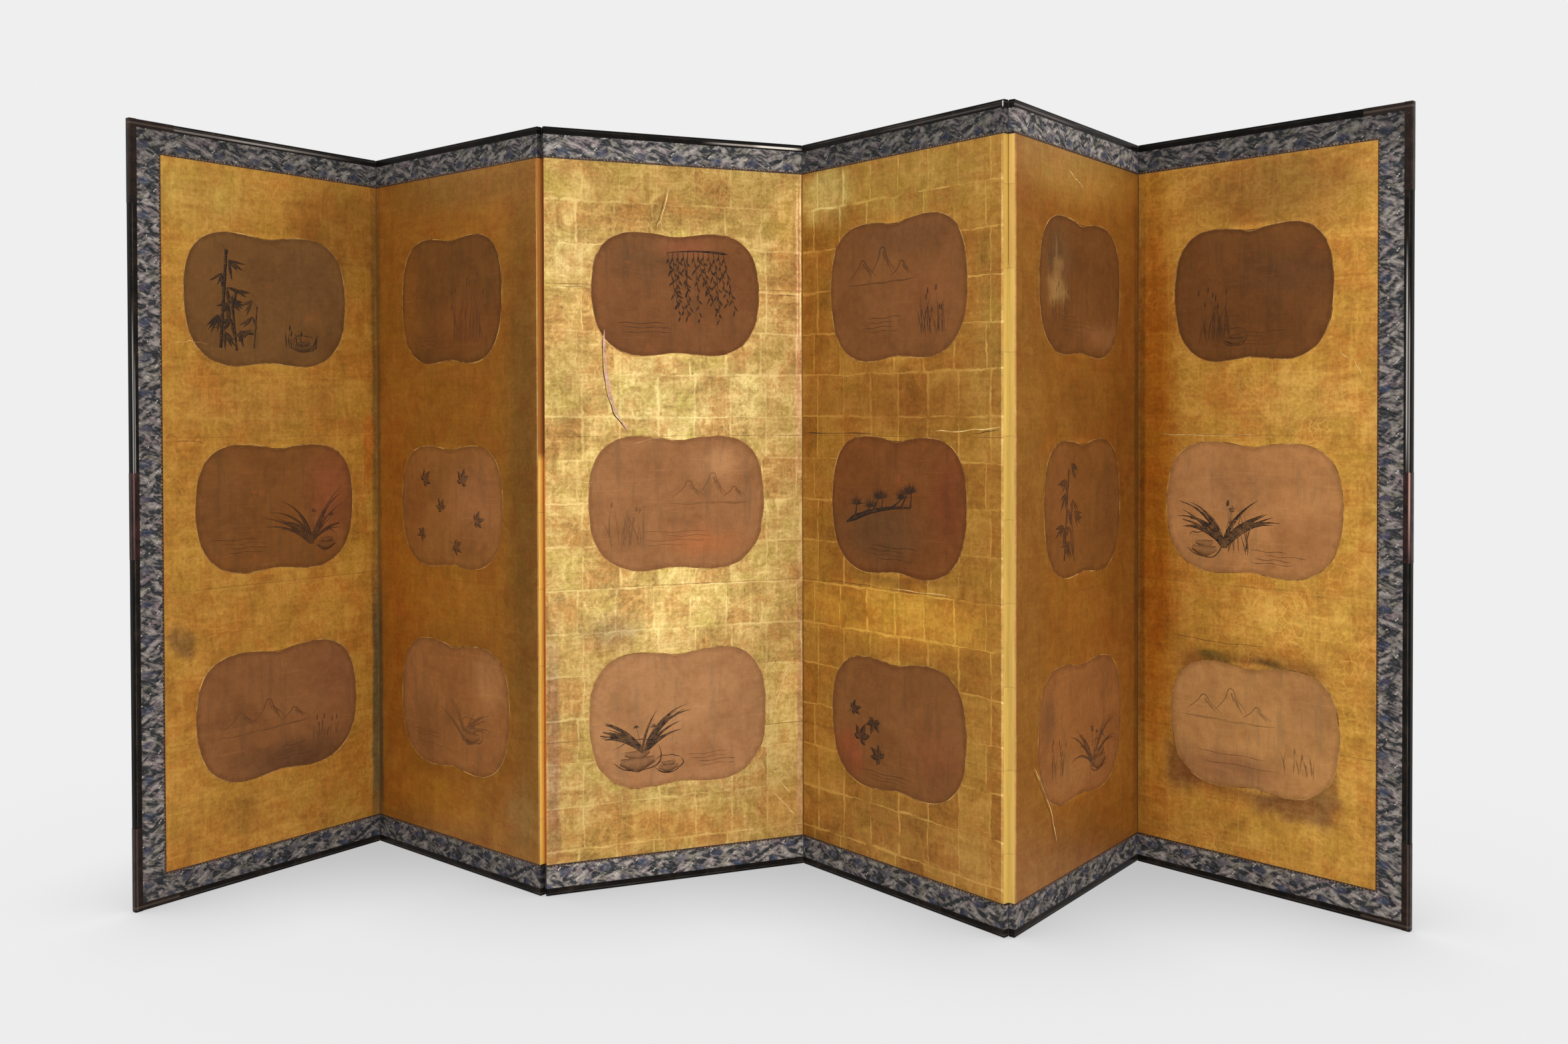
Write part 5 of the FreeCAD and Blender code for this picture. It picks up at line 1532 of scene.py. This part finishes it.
def motifs(number, place):
    """The strokes on one fan paper by how dense the ink is: full, half and a thin wash."""
    chance = random.Random(100 * number + place)
    full, half, wash = [], [], []

    def both(pair, lines):
        lines += pair[0]
        wash.extend(pair[1])

    key = (number, fan_places[place])
    if key == (1, "high"):
        full += bamboo(chance, -124, -112, 196, 5, 6)
        full += bamboo(chance, -84, -118, 120, -5, 4.4)
        half += bamboo(chance, -40, -112, 84, 6, 3)
        full += reeds(chance, 86, -108, 14, 40, 44)
        both(stone(chance, 92, -98, 36, 20), half)
    elif key == (1, "middle"):
        full += orchid(chance, 92, -92, 17, 165, 5.2)
        both(stone(chance, 134, -84, 34, 24), half)
        half += ripples(chance, -150, -70, 4, 130, 10)
    elif key == (1, "low"):
        both(hills(chance, -168, -34, 250, 64), half)
        half += ripples(chance, -20, -90, 4, 130, 9)
        half += reeds(chance, 120, -88, 12, 46, 34)
    elif key == (2, "high"):
        half += reeds(chance, 70, -96, 26, 150, 60)
        half += ripples(chance, -130, -86, 3, 110, 9)
    elif key == (2, "middle"):
        for x, z, size_of, turn in ((-104, 62, 34, 40), (-36, -4, 30, 120), (44, 60, 36, 75),
                                    (96, -30, 32, 10), (-110, -66, 28, 200), (16, -92, 30, 330)):
            full += maple(chance, x, z, size_of, turn)
    elif key == (2, "low"):
        both(stone(chance, 64, -48, 48, 32), half)
        half += orchid(chance, 40, -74, 12, 130, 4.4)
        half += ripples(chance, -140, -76, 4, 130, 9)
    elif key == (3, "high"):
        full += willow(chance, 52, 96, 13, 180, 62)
        half += ripples(chance, -150, -66, 4, 130, 10)
    elif key == (3, "middle"):
        both(hills(chance, -26, 4, 200, 66), half)
        half += reeds(chance, -120, -96, 18, 90, 40)
        half += ripples(chance, -60, -66, 4, 170, 10)
    elif key == (3, "low"):
        both(stone(chance, -104, -78, 58, 38), full)
        both(stone(chance, -30, -104, 34, 20), full)
        full += orchid(chance, -88, -76, 19, 170, 7)
        half += ripples(chance, 20, -90, 4, 130, 9)
    elif key == (4, "high"):
        both(hills(chance, -160, 24, 220, 74), half)
        full += reeds(chance, 100, -104, 18, 90, 44)
        half += ripples(chance, -90, -60, 4, 130, 10)
    elif key == (4, "middle"):
        full += pine(chance, -160, -44, 24, 210, -24, 11)
        half += ripples(chance, -70, -92, 4, 150, 9)
    elif key == (4, "low"):
        for x, z, size_of, turn in ((-116, -40, 40, 60), (-54, -76, 36, 140), (-138, 24, 28, 20),
                                    (-70, 4, 34, 250)):
            full += maple(chance, x, z, size_of, turn)
        half += ripples(chance, -110, -110, 3, 170, 8)
    elif key == (5, "high"):
        half += ripples(chance, -130, -66, 6, 200, 10)
        half += reeds(chance, -110, -84, 16, 90, 34)
    elif key == (5, "middle"):
        full += bamboo(chance, -100, -110, 180, 8, 5)
        half += bamboo(chance, -52, -116, 110, -6, 3.4)
    elif key == (5, "low"):
        both(stone(chance, 92, -70, 52, 38), half)
        full += orchid(chance, 60, -96, 15, 160, 5)
        half += reeds(chance, -120, -90, 12, 80, 30)
    elif key == (6, "high"):
        full += reeds(chance, -100, -104, 22, 120, 52)
        half += ripples(chance, -60, -88, 4, 160, 9)
        both(stone(chance, -40, -96, 32, 20), half)
    elif key == (6, "middle"):
        full += orchid(chance, -64, -92, 19, 170, 8)
        both(stone(chance, -112, -86, 44, 30), full)
        full += reeds(chance, -30, -100, 9, 110, 30)
        half += ripples(chance, 20, -92, 4, 130, 9)
    elif key == (6, "low"):
        both(hills(chance, -176, 14, 230, 70), half)
        half += ripples(chance, -140, -56, 6, 180, 11)
        half += reeds(chance, 110, -86, 12, 60, 34)
    return (("full", 1.0, full), ("half", 0.8, half), ("wash", 0.5, wash))


def ink_material(number, place):
    """Ink sunk into the paper: the paper's own tone, darkened as far as each stroke is dense."""
    tone, patches = fan_looks[number][place]
    centre = fan_centre(number, place) * 1000
    moved = [(x + centre.x, z + centre.z, *rest) for x, z, *rest in patches]
    material, tree, shader = new_material("ink_%d_%s" % (number, fan_places[place]))
    flat, warp = flat_and_warp(tree, panel_point(tree, number))
    paper = toned_by_patches(tree, flat, warp, tone, moved)
    density = add(tree, "ShaderNodeAttribute", attribute_name="ink_share",
                  attribute_type="GEOMETRY").outputs["Fac"]
    dry = band(tree, noise(tree, flat, 300.0, 3.0, 0.7), 0.34, 0.52, 0.6, 1.0)
    pooled = band(tree, noise(tree, flat, 60.0, 3.0, 0.6), 0.3, 0.6, 0.65, 1.0)
    share = times(tree, density, times(tree, dry, pooled), clamp=True)
    share = times(tree, share, ink_strengths[number][place])
    tree.links.new(mix(tree, share, paper, linear(34, 30, 28)), shader.inputs["Base Color"])
    shader.inputs["Roughness"].default_value = 0.8
    shader.inputs["Specular IOR Level"].default_value = 0.12
    return material


# How strongly the ink still shows on each panel's papers, from low to high
ink_strengths = {
    1: (0.6, 0.8, 1.0),
    2: (0.6, 0.7, 0.55),
    3: (1.0, 0.5, 1.0),
    4: (0.85, 1.0, 0.85),
    5: (0.8, 0.8, 0.5),
    6: (0.7, 1.0, 0.65),
}


ink_broad = 1.45


def kept_on_paper(number, place, strokes):
    """Ends each stroke where it would run over the paper's rim."""
    half_wide = 500 * fan_wide * fan_wide_shares[number][place]
    half_tall = 500 * fan_tall * fan_tall_shares[number][place]
    kept = []
    for points, widths in strokes:
        widths = [width * ink_broad for width in widths]
        inside = []
        for x, z in points:
            if abs(x / half_wide) ** 2.6 + abs(z / half_tall) ** 2.6 > 0.78:
                break
            inside.append((x, z))
        if len(inside) > 1:
            kept.append((inside, widths[:len(inside)]))
    return kept


def fan_ink(number, place):
    name = "panel_%d_ink_%s" % (number, fan_places[place])
    parts = []
    for label, density, strokes in motifs(number, place):
        if not strokes:
            continue
        obj = stroke_piece(name + "_" + label, kept_on_paper(number, place, strokes), 0.00009)
        for value in obj.data.attributes.new("ink_share", "FLOAT", "POINT").data:
            value.value = density
        parts.append(obj)
    begin()
    for obj in parts:
        obj.select_set(True)
    bpy.context.view_layer.objects.active = parts[0]
    if len(parts) > 1:
        bpy.ops.object.join()
    obj = named(name)
    obj.matrix_world = fan_matrix(number, place, -fan_thick + 0.00001)
    settle(obj)
    ripple(obj, number)
    finish_modifiers(obj)
    stand(obj, number, ink_material(number, place))
    return ride(obj, number)


# Tears and creases in the gold: a lifted pale lip with a dark line where the paper has parted; beside a
# lifted lip the dark line is partly painted shadow
def lip_material(name, tone, dark):
    material, tree, shader = new_material(name)
    point = add(tree, "ShaderNodeTexCoord").outputs["Object"]
    worn = band(tree, noise(tree, point, 60.0, 4.0, 0.7), 0.3, 0.62)
    tree.links.new(mix(tree, worn, linear(*dark), linear(*tone)), shader.inputs["Base Color"])
    shader.inputs["Roughness"].default_value = 0.62
    shader.inputs["Specular IOR Level"].default_value = 0.2
    relief(tree, shader, worn, 0.3, 0.0003)
    return material


lifted_lip = lip_material("lifted_paper_lip", (206, 164, 142), (150, 104, 84))
# dark line: the gap where the paper parted, and painted shadow beside a lifted lip
parted_gap_and_shadow = lip_material("parted_gap_and_shadow", (66, 40, 24), (38, 24, 16))
raised_crease = lip_material("raised_crease", (226, 196, 132), (168, 124, 62))


def wandering(chance, points, steps, off):
    """Points between the given ones, each a little off the straight way."""
    path = [points[0]]
    for (x, z), (far_x, far_z) in zip(points, points[1:]):
        for step in range(1, steps + 1):
            share = step / steps
            path.append((x + (far_x - x) * share + chance.uniform(-off, off),
                         z + (far_z - z) * share + chance.uniform(-off, off)))
    return path


# Marks on the gold by panel: kind, width in mm and points across and up in mm
gold_marks = {
    3: (
        ("lip", 8.0, [(137, 1272), (141, 1180), (150, 1120), (166, 1078)]),
        ("lip", 4.0, [(166, 1078), (180, 1058), (192, 1044)]),
        ("line", 2.6, [(131, 1276), (135, 1180), (144, 1118), (160, 1076), (192, 1040)]),
        ("line", 1.6, [(286, 1604), (271, 1540), (256, 1504)]),
        ("crease", 2.2, [(292, 1604), (277, 1540), (262, 1506)]),
        ("crease", 2.4, [(545, 182), (574, 150), (602, 118)]),
        ("crease", 1.8, [(560, 206), (590, 172)]),
        ("crease", 2.2, [(552, 380), (570, 440), (598, 500)]),
        ("crease", 1.6, [(40, 905), (66, 930), (110, 925)]),
        ("line", 1.2, [(40, 1365), (88, 1367)]),
        ("line", 1.2, [(560, 1362), (606, 1360)]),
        ("crease", 1.5, [(200, 1010), (250, 1024), (330, 1020)]),
    ),
    4: (
        ("line", 2.4, [(8, 1034), (120, 1035), (250, 1034)]),
        ("crease", 2.6, [(430, 1041), (520, 1042), (612, 1050)]),
        ("line", 1.6, [(540, 1036), (612, 1046)]),
        ("line", 1.2, [(90, 690), (260, 689)]),
        ("crease", 1.6, [(300, 689), (480, 690)]),
    ),
    5: (
        ("line", 1.8, [(80, 330), (120, 280), (160, 220), (185, 150)]),
        ("crease", 2.4, [(86, 334), (126, 284), (166, 224), (190, 154)]),
        ("crease", 1.8, [(250, 1610), (290, 1592), (325, 1580)]),
    ),
    1: (
        ("crease", 1.4, [(80, 1240), (120, 1246), (170, 1240)]),
        ("line", 1.2, [(76, 1020), (120, 1022), (150, 1018)]),
    ),
    6: (
        ("crease", 1.6, [(60, 1030), (200, 1028), (300, 1030)]),
        ("crease", 1.6, [(480, 1210), (520, 1190), (540, 1150)]),
        ("line", 1.2, [(90, 560), (200, 552), (330, 556)]),
    ),
}
mark_looks = {"lip": (lifted_lip, 0.0005), "line": (parted_gap_and_shadow, 0.00018), "crease": (raised_crease, 0.00032)}


def marks(number):
    chance = random.Random(40 + number)
    for kind, (material, half_thick) in mark_looks.items():
        strokes = []
        for label, width, points in gold_marks.get(number, ()):
            if label != kind:
                continue
            path = wandering(chance, points, 4, 1.2 if kind == "line" else 1.8)
            widths = [width * chance.uniform(0.45, 1.15) for _ in path]
            widths[0] = widths[-1] = width * 0.15
            strokes.append((path, widths))
        if not strokes:
            continue
        obj = stroke_piece("panel_%d_gold_%s" % (number, kind), strokes, half_thick)
        ripple(obj, number)
        finish_modifiers(obj)
        smooth(obj)
        stand(obj, number, material)
        ride(obj, number)


# Papers on the hinge edges, and the part of each band that crosses to the next panel
def edge_papers(number, side):
    """Ten bands up one hinge edge: every other one is this panel's own and lies a little prouder."""
    backs_meet = (number - 1) % 2 == 0 if side == "left" else number % 2 == 0
    own_even = not backs_meet if side == "left" else backs_meet
    start = "panel_%d_" % number
    pieces = []
    for place in range(10):
        low = max(place * band_tall, border - ribbon_wide)
        high = min((place + 1) * band_tall, tall - border + ribbon_wide)
        proud = band_thick if (place % 2 == 0) == own_even else band_thick / 3
        begin()
        x = wide + proud / 2 if side == "right" else -proud / 2
        bpy.ops.mesh.primitive_cube_add(size=1, location=(x, (thick + face_paper / 2) / 2, (low + high) / 2))
        obj = named(start + "band_%s_%d" % (side, place))
        obj.scale = (proud, thick - face_paper / 2, high - low - 0.0003)
        settle(obj)
        pieces.append(obj)
    begin()
    for obj in pieces:
        obj.select_set(True)
    bpy.context.view_layer.objects.active = pieces[0]
    bpy.ops.object.join()
    obj = named(start + "edge_papers_" + side)
    bevel = obj.modifiers.new("soft edges", "BEVEL")
    bevel.width = 0.00006
    bevel.segments = 1
    finish_modifiers(obj)
    stand(obj, number, edge_materials[(number, side)])
    ride(obj, number)
    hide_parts(start + "hinge_bands")
    return obj


def fold_bands(left_number):
    """The thin papers that cross from one panel to the next at a fold, shaped round the fold as it stands."""
    backs_meet = left_number % 2 == 0
    y = thick - 0.0002 if backs_meet else 0.0001
    left = panel_matrix(left_number)
    right = panel_matrix(left_number + 1)
    reach = 0.0006
    fold_inset = 0.0026
    pieces = []
    for place in range(12):
        low = fold_inset if place == 0 else border if place == 1 else (place - 1) * band_tall
        high = border if place == 0 else tall - fold_inset if place == 11 else min(place * band_tall,
                                                                                   tall - border)
        if place == 11:
            low = tall - border
        begin()
        bpy.ops.mesh.primitive_grid_add(x_subdivisions=6, y_subdivisions=2, size=1,
                                        rotation=(math.radians(90), 0, 0))
        obj = named("fold_band")
        obj.scale = (1, high - low, 1)
        settle(obj)
        for vertex in obj.data.vertices:
            share = vertex.co.x + 0.5
            z = vertex.co.z + (low + high) / 2
            from_left = left @ Vector((wide - reach + (reach + hinge_gap / 2) * min(1, share * 2), y, z))
            from_right = right @ Vector((reach - (reach + hinge_gap / 2) * min(1, (1 - share) * 2), y, z))
            between = (from_left + from_right) / 2
            vertex.co = from_left if share < 0.5 else from_right if share > 0.5 else between
        pieces.append(obj)
    begin()
    for obj in pieces:
        obj.select_set(True)
    bpy.context.view_layer.objects.active = pieces[0]
    bpy.ops.object.join()
    obj = named("fold_%d_%d_crossing_papers" % (left_number, left_number + 1))
    give_thickness(obj, 0.00012, offset=0)
    finish_modifiers(obj)
    obj.data.materials.append(fold_materials[left_number])
    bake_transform(obj)
    return obj


# Short lacquered lips that carry each rail up to the fold
lip_long = 0.0046
lip_reach = 0.00049
lip_inset = 0.00005
lip_round = 0.0023
lip_notch = 0.0016


def rail_lips(number):
    """A lip at each rail end that meets a neighbour: a short bar with outer edges rounded like the rail's."""
    pieces = []
    for side in ("left", "right"):
        if (number, side) in ((1, "left"), (6, "right")):
            continue
        tip = -lip_reach if side == "left" else wide + lip_reach
        root = lip_long if side == "left" else wide - lip_long
        for top in (False, True):
            low = tall - rail + lip_inset if top else lip_inset
            high = tall - lip_inset if top else rail - lip_inset
            outer = high if top else low
            front = lip_inset - frame_proud
            back = thick + frame_proud - lip_inset
            begin()
            bpy.ops.mesh.primitive_cube_add(size=1, location=((tip + root) / 2, thick / 2, (low + high) / 2))
            obj = named("rail_lip")
            obj.scale = (lip_long + lip_reach, back - front, high - low)
            settle(obj)
            edit(obj, "EDGE")
            pick(obj, lambda p: abs(p.z - outer) < 1e-5 and min(abs(p.y - front), abs(p.y - back)) < 1e-5,
                 "edges")
            bpy.ops.mesh.bevel(offset=lip_round, segments=4)
            bpy.ops.mesh.select_all(action="DESELECT")
            pick(obj, lambda p: abs(p.z - outer) < 1e-5 and abs(p.x - tip) < 1e-5, "edges")
            bpy.ops.mesh.bevel(offset=lip_notch, segments=2)
            leave()
            pieces.append(obj)
    begin()
    for obj in pieces:
        obj.select_set(True)
    bpy.context.view_layer.objects.active = pieces[0]
    bpy.ops.object.join()
    obj = named("panel_%d_rail_lips" % number)
    smooth(obj)
    stand(obj, number, lacquer_materials[number])
    ride(obj, number)


# Small domed nail heads that hold the fittings, by panel: across and up in mm
nail_radius = 0.0017
nail_rise = 0.0006
corner_nails = ((-8, 24), (-8, 92), (-8, 172), (44, 8.5), (78, 8.5))
side_nails = ((-8, 774), (-8, 832), (-8, 888), (-8, 946))


def nails(number):
    pieces = []
    places = list(side_nails)
    for x, z in corner_nails:
        places += [(x, z + 3), (x, tall * 1000 - z)]
    for x, z in places:
        across = x / 1000 if number == 1 else wide - x / 1000
        for y in (-frame_proud - fitting_thick, thick + frame_proud + fitting_thick):
            begin()
            bpy.ops.mesh.primitive_uv_sphere_add(segments=10, ring_count=6, radius=1,
                                                 location=(across, y, z / 1000))
            obj = named("nail")
            obj.scale = (nail_radius, nail_rise, nail_radius)
            settle(obj)
            pieces.append(obj)
    begin()
    for obj in pieces:
        obj.select_set(True)
    bpy.context.view_layer.objects.active = pieces[0]
    bpy.ops.object.join()
    obj = named("panel_%d_nail_heads" % number)
    smooth(obj)
    stand(obj, number, nail_materials[number])
    ride(obj, number)


for number in panel_numbers:
    gold_face(number)
    rail_lips(number)
    if number in (1, 6):
        nails(number)
    borders(number)
    for place in range(3):
        fan_paper(number, place)
        fan_rim(number, place)
        fan_ink(number, place)
    marks(number)
    if number > 1:
        edge_papers(number, "left")
    if number < 6:
        edge_papers(number, "right")
for number in range(1, 6):
    fold_bands(number)

# Floor, light and camera
backdrop = 0.863
floor_material, tree, shader = new_material("studio_floor")
shader.inputs["Base Color"].default_value = linear(236, 236, 236)
shader.inputs["Roughness"].default_value = 0.9
path = add(tree, "ShaderNodeLightPath").outputs
seen = calc(tree, "MAXIMUM", path["Is Camera Ray"],
            calc(tree, "MAXIMUM", path["Is Glossy Ray"], path["Is Transmission Ray"]))
# painted shadow: seen by camera and glossy rays the floor glows as bright as the backdrop, and ambient
# occlusion darkens it near the screen in place of a cast shadow
near = add(tree, "ShaderNodeAmbientOcclusion", {"Distance": 0.42}, samples=12).outputs["AO"]
wider = add(tree, "ShaderNodeAmbientOcclusion", {"Distance": 1.6}, samples=8).outputs["AO"]
open_share = times(tree, band(tree, near, 0.3, 1.0, 0.66, 1.0), band(tree, wider, 0.3, 1.0, 0.9, 1.0))
glow = add(tree, "ShaderNodeEmission", {"Color": (1, 1, 1, 1), "Strength": times(tree, open_share, backdrop)})
both = add(tree, "ShaderNodeMixShader", {0: seen, 1: shader.outputs[0], 2: glow.outputs[0]})
tree.links.new(both.outputs[0], tree.nodes["Material Output"].inputs["Surface"])
begin()
bpy.ops.mesh.primitive_plane_add(size=400, location=(0, 0, -0.0005))
floor = named("floor")
floor.data.materials.append(floor_material)

world = bpy.data.worlds.new("studio")
bpy.context.scene.world = world
world.use_nodes = True
tree = world.node_tree
sky = tree.nodes["Background"]
path = add(tree, "ShaderNodeLightPath").outputs
seen = calc(tree, "MAXIMUM", path["Is Camera Ray"],
            calc(tree, "MAXIMUM", path["Is Glossy Ray"], path["Is Transmission Ray"]))
sky.inputs["Color"].default_value = (1, 1, 1, 1)
tree.links.new(band(tree, seen, 0.0, 1.0, 1.0, backdrop), sky.inputs["Strength"])


def lamp(name, place, target, size, power):
    data = bpy.data.lights.new(name, "AREA")
    data.shape = "RECTANGLE"
    data.size, data.size_y = size
    data.energy = power
    obj = bpy.data.objects.new(name, data)
    bpy.context.scene.collection.objects.link(obj)
    obj.location = place
    obj.rotation_euler = (Vector(target) - Vector(place)).to_track_quat("-Z", "Y").to_euler()
    return obj


lamp("overhead_light", (-1.2, -4.2, 3.4), (0, 0, 0.8), (5.0, 3.0), 95)
lamp("front_light", (3.9, -4.3, 1.2), (0, 0, 0.9), (3.5, 2.2), 90)

camera_data = bpy.data.cameras.new("camera")
camera_data.sensor_width = 36
camera_data.lens = 31.773
camera_data.shift_x = 0.01257
camera_data.shift_y = -0.0547
camera = bpy.data.objects.new("camera", camera_data)
bpy.context.scene.collection.objects.link(camera)
camera.matrix_world = (Matrix.Translation((0.0152, -3.1669, 1.0731))
                       @ Matrix.Rotation(math.radians(90 - 0.811), 4, "X")
                       @ Matrix.Rotation(math.radians(-0.14), 4, "Z"))
bpy.context.scene.camera = camera
bpy.context.scene.view_settings.view_transform = "Standard"
